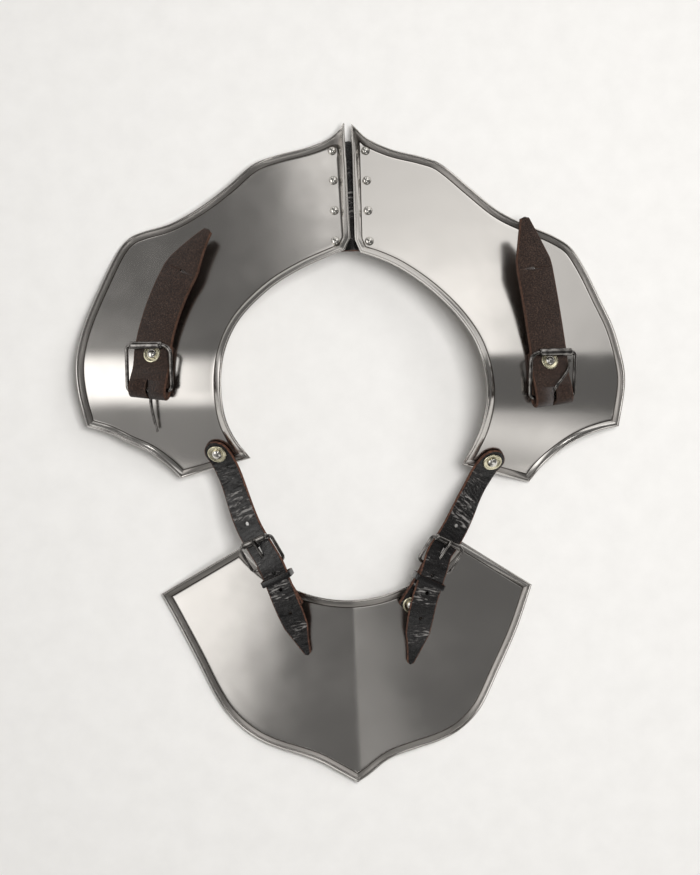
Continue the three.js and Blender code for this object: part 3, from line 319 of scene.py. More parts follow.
# Meshes
def make(name, points, faces, materials, uv=None, slots=None, sharp=None):
    """A mesh piece from millimetre points. uv gives each point's place, slots each face's material."""
    mesh = bpy.data.meshes.new(name)
    placed = (np.asarray(points, float) + SHIFT) * MM
    mesh.from_pydata([tuple(p) for p in placed], [], [tuple(int(i) for i in f) for f in faces])
    mesh.update()
    for m in materials:
        mesh.materials.append(m)
    if slots is not None:
        mesh.polygons.foreach_set("material_index", np.asarray(slots, np.int32))
    if uv is not None:
        layer = mesh.uv_layers.new(name="run")
        index = np.zeros(len(mesh.loops), np.int32)
        mesh.loops.foreach_get("vertex_index", index)
        layer.data.foreach_set("uv", np.asarray(uv, np.float32)[index].ravel())
    mesh.shade_smooth()
    if sharp is not None:
        mesh.set_sharp_from_angle(angle=rad(sharp))
    piece = bpy.data.objects.new(name, mesh)
    bpy.context.scene.collection.objects.link(piece)
    return piece


def inset(line, start, end, width, way):
    """A line moved sideways by width and cut or stretched to run from start to end, evenly spaced."""
    line = np.asarray(line, float)
    tangent = np.gradient(line, axis=0)
    tangent /= np.linalg.norm(tangent, axis=1)[:, None]
    normal = np.stack([-tangent[:, 1], tangent[:, 0]], axis=1) * way
    moved = line + normal * width
    keep = [
        p for p, t in zip(moved, tangent)
        if (p - start) @ t > 0.2 and (end - p) @ t > 0.2
    ]
    return spaced([start, *keep, end], len(line) - 1), normal


def corner(before, after, width, way):
    """The place inside a corner that keeps width from the edges on both sides."""
    a, b = unit(before[-1] - before[-2]), unit(after[1] - after[0])
    na, nb = np.array([-a[1], a[0]]) * way, np.array([-b[1], b[0]]) * way
    return before[-1] + (na + nb) / (1 + na @ nb) * width


def plate(name, edges, turns, shades, groups, height, materials, keel=None):
    """A sheet plate with its edges turned up as a hemmed rim. edges follow each other round the outline,
    turns and shades give each edge's rise and material, where a shade of 1 puts darker steel on the rim as
    painted shade, groups joins them into the four sides of the grid inside."""
    loop = np.concatenate([e[:-1] for e in edges])
    after = np.roll(loop, -1, axis=0)
    area = np.sum(loop[:, 0] * after[:, 1] - loop[:, 1] * after[:, 0])
    way = 1 if area > 0 else -1
    count = len(edges)
    corners = [corner(edges[k - 1], edges[k], RIM_WIDTH, way) for k in range(count)]
    outer, inner, rises = [], [], []
    for k, edge in enumerate(edges):
        lines, normal = inset(edge, corners[k], corners[(k + 1) % count], RIM_WIDTH, way)
        rise = []
        for p, n in zip(edge, normal):
            q = p + n * RIM_WIDTH
            fall = math.atan2(height(*p) - height(*q), RIM_WIDTH)
            rise.append(RIM_WIDTH * math.tan(min(fall + rad(turns[k]), rad(RIM_HIGH))))
        outer.append(np.asarray(edge))
        inner.append(lines)
        rises.append(np.array(rise))
    joints = [(rises[k - 1][-1] + rises[k][0]) / 2 for k in range(count)]
    for k in range(count):
        run = np.r_[0, np.cumsum(np.linalg.norm(np.diff(outer[k], axis=0), axis=1))]
        shifts = (joints[k] - rises[k][0], joints[(k + 1) % count] - rises[k][-1])
        for shift, distance in zip(shifts, (run, run[-1] - run)):
            rises[k] = rises[k] + shift * np.exp(-((distance / CORNER_EASE) ** 2))
    outer = np.concatenate([e[:-1] for e in outer])
    inner = np.concatenate([e[:-1] for e in inner])
    rise = np.concatenate([r[:-1] for r in rises])
    around = len(outer)
    points, faces, slots = [], [], []
    shade = np.concatenate([[shades[k]] * (len(edges[k]) - 1) for k in range(count)])
    for share, off in RIM_PROFILE:
        for o, i, r in zip(outer, inner, rise):
            at = o + (i - o) * share
            base = height(*at) if share > 1 else height(*i) + r * (1 - share)
            points.append((at[0], at[1], base + off))
    # Flange rings of an edge whose shade is 1 take the darker rim steel, which is painted shade.
    for ring in range(len(RIM_PROFILE) - 1):
        share = (RIM_PROFILE[ring][0] + RIM_PROFILE[ring + 1][0]) / 2
        # Rings at the rim's creases take the near-black steel, which is painted shade.
        in_crease_shade = any(abs(share - middle) < half for middle, half in RIM_CREASES)
        here, next_ring = ring * around, (ring + 1) * around
        for i in range(around):
            j = (i + 1) % around
            faces.append((here + i, here + j, next_ring + j, next_ring + i))
            slots.append(2 if in_crease_shade else shade[i] if HEM_SHARE < share < 1 else 0)
    base = (len(RIM_PROFILE) - 1) * around
    lengths = [len(e) - 1 for e in edges]
    sides = [sum(lengths[k] for k in group) for group in groups]
    across, along = sides[0], sides[1]
    ring = lambda i: base + i % around
    spots = np.array(points)[:, :2]
    grid = np.zeros((along + 1, across + 1), int)
    for j in range(along + 1):
        for i in range(across + 1):
            if j == 0:
                grid[j, i] = ring(i)
            elif j == along:
                grid[j, i] = ring(2 * across + along - i)
            elif i == 0:
                grid[j, i] = ring(-j)
            elif i == across:
                grid[j, i] = ring(across + j)
            else:
                u, v = i / across, j / along
                foot, top = spots[ring(i)], spots[ring(2 * across + along - i)]
                first, last = spots[ring(-j)], spots[ring(across + j)]
                ends = [spots[ring(n)] for n in (0, across, across + along, 2 * across + along)]
                at = foot * (1 - v) + top * v + first * (1 - u) + last * u
                at = at - ends[0] * (1 - u) * (1 - v) - ends[1] * u * (1 - v)
                at = at - ends[2] * u * v - ends[3] * (1 - u) * v
                points.append((at[0], at[1], 0.0))
                grid[j, i] = len(points) - 1
    points = np.array(points)
    if keel is not None:
        middle = across // 2
        for j in range(1, along):
            lean = front_local(*points[grid[j, middle], :2])[0]
            for i in range(1, across):
                share = 1 - abs(i - middle) / middle
                points[grid[j, i], :2] -= turned_plan((lean * share, 0), FRONT_TURN)
    for j in range(1, along):
        for i in range(1, across):
            x, y = points[grid[j, i], :2]
            edge = min(i, j, across - i, along - j) / SWAY_MARGIN
            sway = sum(
                high * noise.noise(Vector((x / long, y / long, seed)))
                for (long, high), seed in zip(SWAYS, SWAY_SEEDS)
            )
            points[grid[j, i], 2] = height(x, y) + PLATE_SWAY * sway * min(edge, 1)
    for j in range(along):
        for i in range(across):
            faces.append((grid[j, i], grid[j, i + 1], grid[j + 1, i + 1], grid[j + 1, i]))
            slots.append(0)
    faces = np.array(faces)
    a, b, c, d = (points[faces[:, k]] for k in range(4))
    face_normal = np.cross(c - a, d - b)
    if face_normal[:, 2].sum() < 0:
        faces = faces[:, ::-1]
        face_normal = -face_normal
    normals = np.zeros_like(points)
    for k in range(4):
        np.add.at(normals, faces[:, k], face_normal)
    normals /= np.linalg.norm(normals, axis=1)[:, None]
    total = len(points)
    below = points - normals * SHEET
    under = faces[:, ::-1] + total
    first = np.arange(around)
    second = np.roll(first, -1)
    wall = np.stack([first, second, second + total, first + total], axis=1)
    middle = points[:around].mean(axis=0)
    a, b, c = points[wall[0, 0]], points[wall[0, 1]], np.r_[points, below][wall[0, 2]]
    if np.cross(b - a, c - a) @ (a - middle) < 0:
        wall = wall[:, ::-1]
    slots += [0] * (len(under) + len(wall))
    return make(name, np.r_[points, below], np.r_[faces, under, wall], materials, slots=slots, sharp=32)


def lathe(name, profile, origin, up, along, materials, segments=40, sharp=40):
    """A turned piece: profile of radius and height, stood on origin along up."""
    x = unit(along - up * (along @ up))
    y = np.cross(up, x)
    points, faces = [], []
    for r, h in profile:
        for k in range(segments):
            a = 2 * math.pi * k / segments
            points.append(origin + up * h + (x * math.cos(a) + y * math.sin(a)) * max(r, 1e-3))
    for i in range(len(profile) - 1):
        for k in range(segments):
            n = (k + 1) % segments
            faces.append((i * segments + k, i * segments + n, (i + 1) * segments + n, (i + 1) * segments + k))
    return make(name, points, faces, materials, sharp=sharp)


def tube(path, radii, sides=16, closed=False):
    """The points and faces of a round wire along a path."""
    path = np.asarray(path, float)
    count = len(path)
    radii = np.broadcast_to(radii, (count,))
    points, faces = [], []
    previous = None
    for i, p in enumerate(path):
        ahead = path[(i + 1) % count] if closed else path[min(i + 1, count - 1)]
        behind = path[i - 1] if closed or i else path[0]
        along = unit(ahead - behind)
        if previous is None:
            seed = vec(0, 0, 1) if abs(along[2]) < 0.9 else vec(1, 0, 0)
            side = unit(np.cross(along, seed))
        else:
            side = unit(previous - along * (previous @ along))
        previous = side
        over = np.cross(side, along)
        for k in range(sides):
            a = 2 * math.pi * k / sides
            points.append(p + radii[i] * (side * math.cos(a) + over * math.sin(a)))
    for i in range(count if closed else count - 1):
        for k in range(sides):
            n, j = (k + 1) % sides, (i + 1) % count
            faces.append((i * sides + k, i * sides + n, j * sides + n, j * sides + k))
    if not closed:
        faces.append(tuple(range(sides))[::-1])
        faces.append(tuple((count - 1) * sides + k for k in range(sides)))
    return points, faces


def refined(stations, spacing):
    """Stations of a strap joined by a smooth line, at an even spacing."""
    rows = np.array([np.r_[p, u, w] for p, u, w in stations])
    line = catmull([r[:3] for r in rows], per=16)
    share = np.linspace(0, len(rows) - 1, len(line))
    extra = np.stack([np.interp(share, np.arange(len(rows)), rows[:, k]) for k in range(3, 7)], axis=1)
    full = np.c_[line, extra]
    lengths = np.r_[0, np.cumsum(np.linalg.norm(np.diff(line, axis=0), axis=1))]
    steps = max(int(lengths[-1] / spacing), 8)
    at = np.linspace(0, lengths[-1], steps + 1)
    out = np.stack([np.interp(at, lengths, full[:, k]) for k in range(7)], axis=1)
    return out, at


def strap(name, stations, thickness, materials, spacing=0.8, ends=(0, 0), wrinkle=None):
    """A leather strap with rounded edges. ends are the lengths over which its ends round off, wrinkle gives
    how far its upper face is pushed at a share across and a run along it."""
    rows, run = refined(stations, spacing)
    total = run[-1]
    columns, half = 15, thickness / 2
    points, faces, uv, slots = [], [], [], []
    arc = [70, 35, 0, -35, -70]
    for i, row in enumerate(rows):
        point, up, width = row[:3], row[3:6], row[6]
        along = unit(rows[min(i + 1, len(rows) - 1)][:3] - rows[max(i - 1, 0)][:3])
        side = unit(np.cross(along, unit(up)))
        out = np.cross(side, along)
        for length, distance in ((ends[0], run[i]), (ends[1], total - run[i])):
            if length and distance < length:
                share = 1 - distance / length
                width *= max(math.sqrt(max(1 - share * share, 0.0)), 0.12)
        flat = width / 2 - half * EDGE_ROUND
        ring = []
        for c in range(columns):
            a = -1 + 2 * c / (columns - 1)
            push = wrinkle(a, run[i], total) if wrinkle else 0.0
            ring.append((a * flat, half + push))
        for degrees in arc:
            ring.append((flat + half * EDGE_ROUND * math.cos(rad(degrees)), half * math.sin(rad(degrees))))
        for c in (1, 0, -1):
            ring.append((c * flat, -half))
        for degrees in reversed(arc):
            ring.append((-flat - half * EDGE_ROUND * math.cos(rad(degrees)), half * math.sin(rad(degrees))))
        for a, over in ring:
            points.append(point + side * a + out * over)
            uv.append((a * MM * 10, run[i] * MM * 10))
    size = columns + 2 * len(arc) + 3
    for i in range(len(rows) - 1):
        for k in range(size):
            n = (k + 1) % size
            faces.append((i * size + k, i * size + n, (i + 1) * size + n, (i + 1) * size + k))
            edge = columns - 1 <= k < columns + len(arc) or k >= columns + len(arc) + 2
            under = columns + len(arc) <= k < columns + len(arc) + 2
            slots.append(1 if edge else 2 if under else 0)
    faces.append(tuple(range(size))[::-1])
    faces.append(tuple((len(rows) - 1) * size + k for k in range(size)))
    slots += [1, 1]
    return make(name, points, faces, materials, uv=uv, slots=slots, sharp=50)


def cut(piece, tools):
    """Cuts closed tools out of a piece."""
    for tool in tools:
        change = piece.modifiers.new("cut", "BOOLEAN")
        change.operation = "DIFFERENCE"
        change.solver = "EXACT"
        change.object = tool
        bpy.context.view_layer.objects.active = piece
        bpy.ops.object.modifier_apply(modifier=change.name)
        bpy.data.objects.remove(tool)


def peg(origin, up, along, radius, depth, stretch=1.0):
    """A closed round or long tool for cutting a hole."""
    x = unit(along - up * (along @ up))
    y = np.cross(up, x)
    points, faces, sides = [], [], 24
    for level in (-depth, depth):
        for k in range(sides):
            a = 2 * math.pi * k / sides
            points.append(origin + up * level + x * math.cos(a) * radius * stretch + y * math.sin(a) * radius)
    for k in range(sides):
        n = (k + 1) % sides
        faces.append((k, n, sides + n, sides + k))
    faces += [tuple(range(sides))[::-1], tuple(sides + k for k in range(sides))]
    return make("tool", points, faces, [HOLE_SHADE])


# Materials
def material(name, color, roughness, metallic=0.0):
    """A new material with its main shader's plain values set."""
    m = bpy.data.materials.new(name)
    m.use_nodes = True
    shader = m.node_tree.nodes["Principled BSDF"]
    shader.inputs["Base Color"].default_value = (*color, 1)
    shader.inputs["Roughness"].default_value = roughness
    shader.inputs["Metallic"].default_value = metallic
    return m, m.node_tree, shader


def coordinates(tree, kind="Object", stretch=(1, 1, 1)):
    place = tree.nodes.new("ShaderNodeTexCoord")
    mapping = tree.nodes.new("ShaderNodeMapping")
    mapping.inputs["Scale"].default_value = stretch
    tree.links.new(place.outputs[kind], mapping.inputs["Vector"])
    return mapping.outputs["Vector"]


def noisy(tree, vector, scale, detail=3, roughness=0.55, distortion=0.0):
    node = tree.nodes.new("ShaderNodeTexNoise")
    node.inputs["Scale"].default_value = scale
    node.inputs["Detail"].default_value = detail
    node.inputs["Roughness"].default_value = roughness
    node.inputs["Distortion"].default_value = distortion
    tree.links.new(vector, node.inputs["Vector"])
    return node.outputs["Fac"]


def ranged(tree, value, low, high, to_low, to_high):
    node = tree.nodes.new("ShaderNodeMapRange")
    for name, number in (("From Min", low), ("From Max", high), ("To Min", to_low), ("To Max", to_high)):
        node.inputs[name].default_value = number
    tree.links.new(value, node.inputs["Value"])
    return node.outputs["Result"]


def combined(tree, operation, first, second):
    node = tree.nodes.new("ShaderNodeMath")
    node.operation = operation
    for socket, value in zip(node.inputs, (first, second)):
        if isinstance(value, (int, float)):
            socket.default_value = value
        else:
            tree.links.new(value, socket)
    return node.outputs[0]


def ramp(tree, value, stops):
    node = tree.nodes.new("ShaderNodeValToRGB")
    while len(node.color_ramp.elements) < len(stops):
        node.color_ramp.elements.new(0.5)
    for element, (at, color) in zip(node.color_ramp.elements, stops):
        element.position = at
        element.color = (*color, 1)
    tree.links.new(value, node.inputs["Fac"])
    return node.outputs["Color"]


def bumped(tree, height, strength, distance, normal=None):
    node = tree.nodes.new("ShaderNodeBump")
    node.inputs["Strength"].default_value = strength
    node.inputs["Distance"].default_value = distance
    tree.links.new(height, node.inputs["Height"])
    if normal is not None:
        tree.links.new(normal, node.inputs["Normal"])
    return node.outputs["Normal"]


def steel_material(name, color, smooth, dull):
    m, tree, shader = material(name, color, smooth, 1.0)
    vector = coordinates(tree)
    patches = noisy(tree, vector, 22, 3)
    tree.links.new(ranged(tree, patches, 0.3, 0.7, smooth, dull), shader.inputs["Roughness"])
    fine = noisy(tree, coordinates(tree, stretch=(1, 3.5, 1)), 900, 3)
    tree.links.new(bumped(tree, fine, 0.035, 0.0002), shader.inputs["Normal"])
    return m


def wire_material():
    m, tree, shader = material("dark_wire", (0.3, 0.285, 0.27), 0.15, 1.0)
    worn = noisy(tree, coordinates(tree), 260, 4)
    tree.links.new(ranged(tree, worn, 0.35, 0.7, 0.08, 0.24), shader.inputs["Roughness"])
    color = ramp(tree, worn, [(0.35, (0.09, 0.085, 0.08)), (0.7, (0.36, 0.345, 0.33))])
    tree.links.new(color, shader.inputs["Base Color"])
    tree.links.new(bumped(tree, worn, 0.08, 0.0003), shader.inputs["Normal"])
    return m


def nickel_material(name, color, roughness):
    m, tree, shader = material(name, color, roughness, 1.0)
    worn = noisy(tree, coordinates(tree), 500, 3)
    tree.links.new(ranged(tree, worn, 0.3, 0.7, roughness * 0.8, roughness * 1.4), shader.inputs["Roughness"])
    return m


def suede_material():
    m, tree, shader = material("brown_suede", (0.05, 0.03, 0.024), 0.92)
    vector = coordinates(tree)
    nap = noisy(tree, vector, 1300, 5, 0.75)
    clouds = noisy(tree, vector, 110, 4)
    browns = [(0.38, (0.012, 0.008, 0.007)), (0.52, (0.036, 0.023, 0.018)), (0.68, (0.115, 0.07, 0.052))]
    color = ramp(tree, nap, browns)
    worn = ramp(tree, clouds, [(0.35, (0.78, 0.76, 0.75)), (0.7, (1.0, 1.0, 1.0))])
    mixed = tree.nodes.new("ShaderNodeMix")
    mixed.data_type = "RGBA"
    mixed.blend_type = "MULTIPLY"
    mixed.inputs["Factor"].default_value = 1.0
    tree.links.new(color, mixed.inputs["A"])
    tree.links.new(worn, mixed.inputs["B"])
    tree.links.new(mixed.outputs["Result"], shader.inputs["Base Color"])
    tree.links.new(bumped(tree, nap, 0.8, 0.0008), shader.inputs["Normal"])
    shader.inputs["Sheen Weight"].default_value = 0.2
    shader.inputs["Specular IOR Level"].default_value = 0.2
    return m


def black_material():
    m, tree, shader = material("black_leather", (0.008, 0.007, 0.007), 0.25)
    grain = noisy(tree, coordinates(tree), 1100, 4)
    folds = noisy(tree, coordinates(tree, "UV", (5, 20, 1)), 2.0, 4, 0.6, 1.2)
    tree.links.new(ranged(tree, grain, 0.35, 0.7, 0.18, 0.32), shader.inputs["Roughness"])
    # Pale streaks where the folds noise peaks are painted highlights in the base colour, standing in for gloss
    # on the creases.
    patches = noisy(tree, coordinates(tree, "UV", (1, 3.4, 1)), 1.0, 1)
    crease_highlight_mask = combined(tree, "MULTIPLY", folds, ranged(tree, patches, 0.42, 0.56, 0.72, 1.0))
    painted_crease_highlights = [(0.3, (0.003, 0.003, 0.003)), (0.53, (0.007, 0.006, 0.006)), (0.64, (0.22, 0.21, 0.2))]
    tree.links.new(ramp(tree, crease_highlight_mask, painted_crease_highlights), shader.inputs["Base Color"])
    normal = bumped(tree, folds, 0.7, 0.0016)
    tree.links.new(bumped(tree, grain, 0.3, 0.0003, normal), shader.inputs["Normal"])
    shader.inputs["Specular IOR Level"].default_value = 0.45
    shader.inputs["Coat Weight"].default_value = 0.2
    shader.inputs["Coat Roughness"].default_value = 0.12
    return m


def edge_material(name, dark, light):
    m, tree, shader = material(name, dark, 0.75)
    vector = coordinates(tree)
    fibre = noisy(tree, vector, 700, 4)
    tree.links.new(ramp(tree, fibre, [(0.35, dark), (0.65, light)]), shader.inputs["Base Color"])
    tree.links.new(bumped(tree, fibre, 0.4, 0.0003), shader.inputs["Normal"])
    return m


STEEL = steel_material("satin_steel", (0.62, 0.6, 0.575), 0.15, 0.26)
# The rim steel is rougher than the plate's, and its darker colour is painted shade for rims that are to look
# dark.
SHADED_RIM_STEEL = steel_material("shaded_rim_steel", (0.4, 0.38, 0.36), 0.34, 0.42)
# Near-black steel along the rims' creases is painted shade.
CREASE_SHADE_STEEL = steel_material("painted_crease_shade", (0.12, 0.11, 0.1), 0.4, 0.5)
STEEL_SET = [STEEL, SHADED_RIM_STEEL, CREASE_SHADE_STEEL]
WIRE = wire_material()
NICKEL = nickel_material("nickel", (0.74, 0.72, 0.68), 0.16)
WASHER_METAL = nickel_material("pale_brass", (0.84, 0.79, 0.58), 0.24)
SUEDE = suede_material()
BLACK = black_material()
# Hole walls are near black, darker than the straps' cut edges: painted shade inside the holes.
HOLE_SHADE = edge_material("hole_wall_painted_shade", (0.006, 0.004, 0.003), (0.02, 0.013, 0.01))
BROWN_EDGE = edge_material("brown_edge", (0.03, 0.014, 0.009), (0.085, 0.043, 0.028))
BLACK_EDGE = edge_material("black_edge", (0.03, 0.014, 0.01), (0.13, 0.058, 0.036))
BACK = edge_material("leather_back", (0.035, 0.022, 0.016), (0.07, 0.045, 0.034))
# The upper face, the edges and the under face of a strap. A folded strap starts face down.
BLACK_SET = [BLACK, BLACK_EDGE, BACK]
BLACK_FOLDED = [BACK, BLACK_EDGE, BLACK]
BROWN_FOLDED = [BACK, BROWN_EDGE, SUEDE]


def hand_in(piece, node, body="gorget"):
    """Puts a finished piece in the frame in place of a node."""
    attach(piece, body)
    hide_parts(node)


def rivet_head(name, origin, up, along, rivet):
    """A round rivet head with a short shank below."""
    head, rise = rivet["head"], rivet["rise"]
    profile = [(1.2, -1.2), (1.2, 0.0), (head * 0.93, 0.0), (head, 0.18)]
    for k in range(1, 11):
        a = math.pi / 2 * k / 10
        profile.append((head * math.cos(a), 0.18 + (rise - 0.18) * math.sin(a)))
    return lathe(name, profile, origin, up, along, [NICKEL])


def washer(name, origin, up, along, rivet):
    """A dished washer with a raised rim."""
    r = rivet["washer"]
    profile = [
        (2.0, 0.02), (r - 0.25, 0.0), (r, 0.2), (r - 0.1, 0.62), (r - 0.55, 0.86), (r - 1.1, 0.8),
        (r - 1.7, 0.5), (r - 2.4, 0.38), (2.0, 0.4), (2.0, 0.02),
    ]
    return lathe(name, profile, origin, up, along, [WASHER_METAL], segments=48, sharp=60)


# Steel plates
OUTER_STEPS, SCALLOP_STEPS, ACROSS_STEPS, FLANK_STEPS = 96, 36, 40, 44
SIDE_ORDER = [(0,), (1,), (2, 3), (4,)]
for side in SIDES:
    outer = spaced(catmull([shoulder_plan(side, p) for p in OUTER[side]]), OUTER_STEPS)
    scallop = spaced(catmull([shoulder_plan(side, p) for p in SCALLOP[side]]), SCALLOP_STEPS)
    neck = spaced(catmull([shoulder_plan(side, p) for p in NECK[side][1:]]), OUTER_STEPS + SCALLOP_STEPS)
    foot = shoulder_plan(side, NECK[side][0])
    hinge = spaced(np.array([outer[0], foot, neck[0]]), ACROSS_STEPS)
    ends = straight(neck[-1], scallop[-1], ACROSS_STEPS)
    edges = [neck, ends, scallop[::-1], outer[::-1], hinge]
    turns = [RIM_TURN, END_TURN, RIM_TURN, RIM_TURN, RIM_TURN]
    # Edges given 1 in the shades list get the darker rim steel, painted shade.
    piece = plate(f"plate_{side}", edges, turns, [0, 1, 0, 1, 0], SIDE_ORDER, shoulder_height, STEEL_SET)
    hand_in(piece, f"shoulder_plate_{side}")

centre = FRONT_NECK_FOOT + FRONT_NECK_RADIUS
arc = []
for i in range(2 * FLANK_STEPS + 1):
    angle = rad(FRONT_NECK_SPREAD * (i / FLANK_STEPS - 1))
    out = FRONT_NECK_RADIUS * math.sin(angle) / FRONT_REACH
    arc.append(front_plan(out, (FRONT_NECK_RADIUS * math.cos(angle) - centre) / KEEL_LENGTH))
arc = np.array(arc)
flank = {
    side: spaced(catmull([front_plan(SIDES[side] * out, down) for out, down in FLANK[side]]), FLANK_STEPS)
    for side in SIDES
}
edges = [
    arc, straight(arc[-1], flank["right"][0], ACROSS_STEPS), flank["right"], flank["left"][::-1],
    straight(flank["left"][0], arc[0], ACROSS_STEPS),
]
turns = [RIM_TURN] * 5
# Edges given 1 in the shades list get the darker rim steel, painted shade.
piece = plate("plate_front", edges, turns, [1, 0, 1, 1, 1], SIDE_ORDER, front_height, STEEL_SET, keel=True)
hand_in(piece, "front_plate")


# Hinge leather and its rivets
def spine(share):
    return HINGE_SPINE[0] + (HINGE_SPINE[1] - HINGE_SPINE[0]) * share


def spine_place(share, aside):
    return spine(share) + aside, BACK_LENGTH - share * NECK["left"][1][1] * PLATE_LENGTH


hinge_under = SHEET + SEAT_GAP
stations = []
for k in range(15):
    share = HINGE_START + (HINGE_END - HINGE_START) * k / 14
    x, y = spine_place(share, 0)
    at, up = on_surface(shoulder_height, x, y)
    up = unit(vec(0, up[1], up[2]))
    stations.append((at - up * (hinge_under + HINGE_LEATHER / 2 + 0.1), up, HINGE_WIDTH))


def hinge_fold(a, run, total):
    """The leather's fold line between the plates, and its slope down to both sides."""
    across = a * HINGE_WIDTH / 2
    return 0.55 * math.exp(-((across / 0.5) ** 2)) - abs(across) * math.tan(rad(SIDE_SLOPE))


piece = strap("hinge", stations, HINGE_LEATHER, BLACK_SET, wrinkle=hinge_fold)
hand_in(piece, "hinge_leather")
for side in SIDES:
    for i in range(HINGE_RIVETS):
        first, last = HINGE_RIVET_SHARES
        share = first + (last - first) * i / (HINGE_RIVETS - 1)
        at, up = on_surface(shoulder_height, *spine_place(share, SIDES[side] * HINGE_RIVET_OUT))
        piece = rivet_head(f"rivet_{side}_{i + 1}", at + up * 0.1, up, vec(0, 1, 0), HINGE_RIVET)
        hand_in(piece, f"hinge_rivet_{side}_{i + 1}")


# Buckle parts
def corner_radii(buckle, side):
    """The radii beside the roller at +y and at -y."""
    radii = (buckle["wide"], buckle["corner"])
    return radii if SIDES[side] > 0 else radii[::-1]


def rounded_frame(buckle, side):
    """The line of a buckle's frame in its own plane: the bar along y at x = 0 and the roller at x = reach."""
    half, reach, small = buckle["inside"] / 2 + buckle["wire"], buckle["reach"], buckle["corner"]
    plus, minus = corner_radii(buckle, side)
    path = []
    for r, x, sign, start in (
        (small, small, 1, 90), (plus, reach - plus, 1, 0),
        (minus, reach - minus, -1, -90), (small, small, -1, -180),
    ):
        for k in range(9):
            a = rad(start + 90 - 90 * k / 8)
            path.append((x + r * math.cos(a), sign * (half - r) + r * math.sin(a), 0.0))
    return spaced(np.array(path + path[:1]), 200)[:-1]


def basis(x, y, z, origin, points):
    points = np.asarray(points, float)
    return origin + points[:, :1] * x + points[:, 1:2] * y + points[:, 2:3] * z


def buckle_pieces(kind, side, buckle, bar, frame_axes, prong_axes, prong_path, bodies):
    """The frame, roller and prong of one buckle, each made in its own axes."""
    lean, across, lean_up = frame_axes
    path = rounded_frame(buckle, side)
    points, faces = tube(basis(lean, across, lean_up, bar, path), buckle["wire"], closed=True)
    piece = make(f"{kind}_frame_{side}", points, faces, [WIRE])
    hand_in(piece, f"{kind}_buckle_{side}", bodies[0])
    plus, minus = corner_radii(buckle, side)
    length = buckle["inside"] / 2 + buckle["wire"] - (plus + minus) / 2 + 0.2
    origin = bar + lean * buckle["reach"] + across * (minus - plus) / 2
    r, inner = buckle["roller"], buckle["wire"] + 0.2
    profile = [(inner, -length), (r - 0.25, -length), (r, -length + 0.3)]
    profile += [(r, length * k / 4) for k in range(-3, 4)]
    profile += [(r, length - 0.3), (r - 0.25, length), (inner, length), (inner, -length)]
    piece = lathe(f"{kind}_tube_{side}", profile, origin, across, lean_up, [WIRE], segments=32)
    hand_in(piece, f"{kind}_roller_{side}", bodies[1])
    x, y, z = prong_axes
    eye = buckle["wire"] + 0.45
    loop = [(eye * math.cos(rad(a)), 0, eye * math.sin(rad(a))) for a in prong_path[0]]
    line = catmull(loop + [p for p in prong_path[1]], per=8)
    line = spaced(line, 70)
    radii = buckle["prong"] * np.linspace(1, 0.8, len(line))
    points, faces = tube(basis(x, y, z, bar, line), radii, sides=14)
    piece = make(f"{kind}_tongue_{side}", points, faces, [WIRE], sharp=50)
    hand_in(piece, f"{kind}_prong_{side}", bodies[2])


def fold(bar, along, up, radius, width, steps=10):
    """A strap's foot folded round its buckle's bar, from below the bar to above it."""
    out = []
    for k in range(steps + 1):
        a = math.pi * k / steps
        away = -up * math.cos(a) - along * math.sin(a)
        out.append((bar + away * radius, -away, width))
    return out


# Open buckle straps on the shoulders
def suede_wrinkle(a, run, total):
    return 0.1 * noise.noise(Vector((a * 2.2, run / 7, 3.0)))


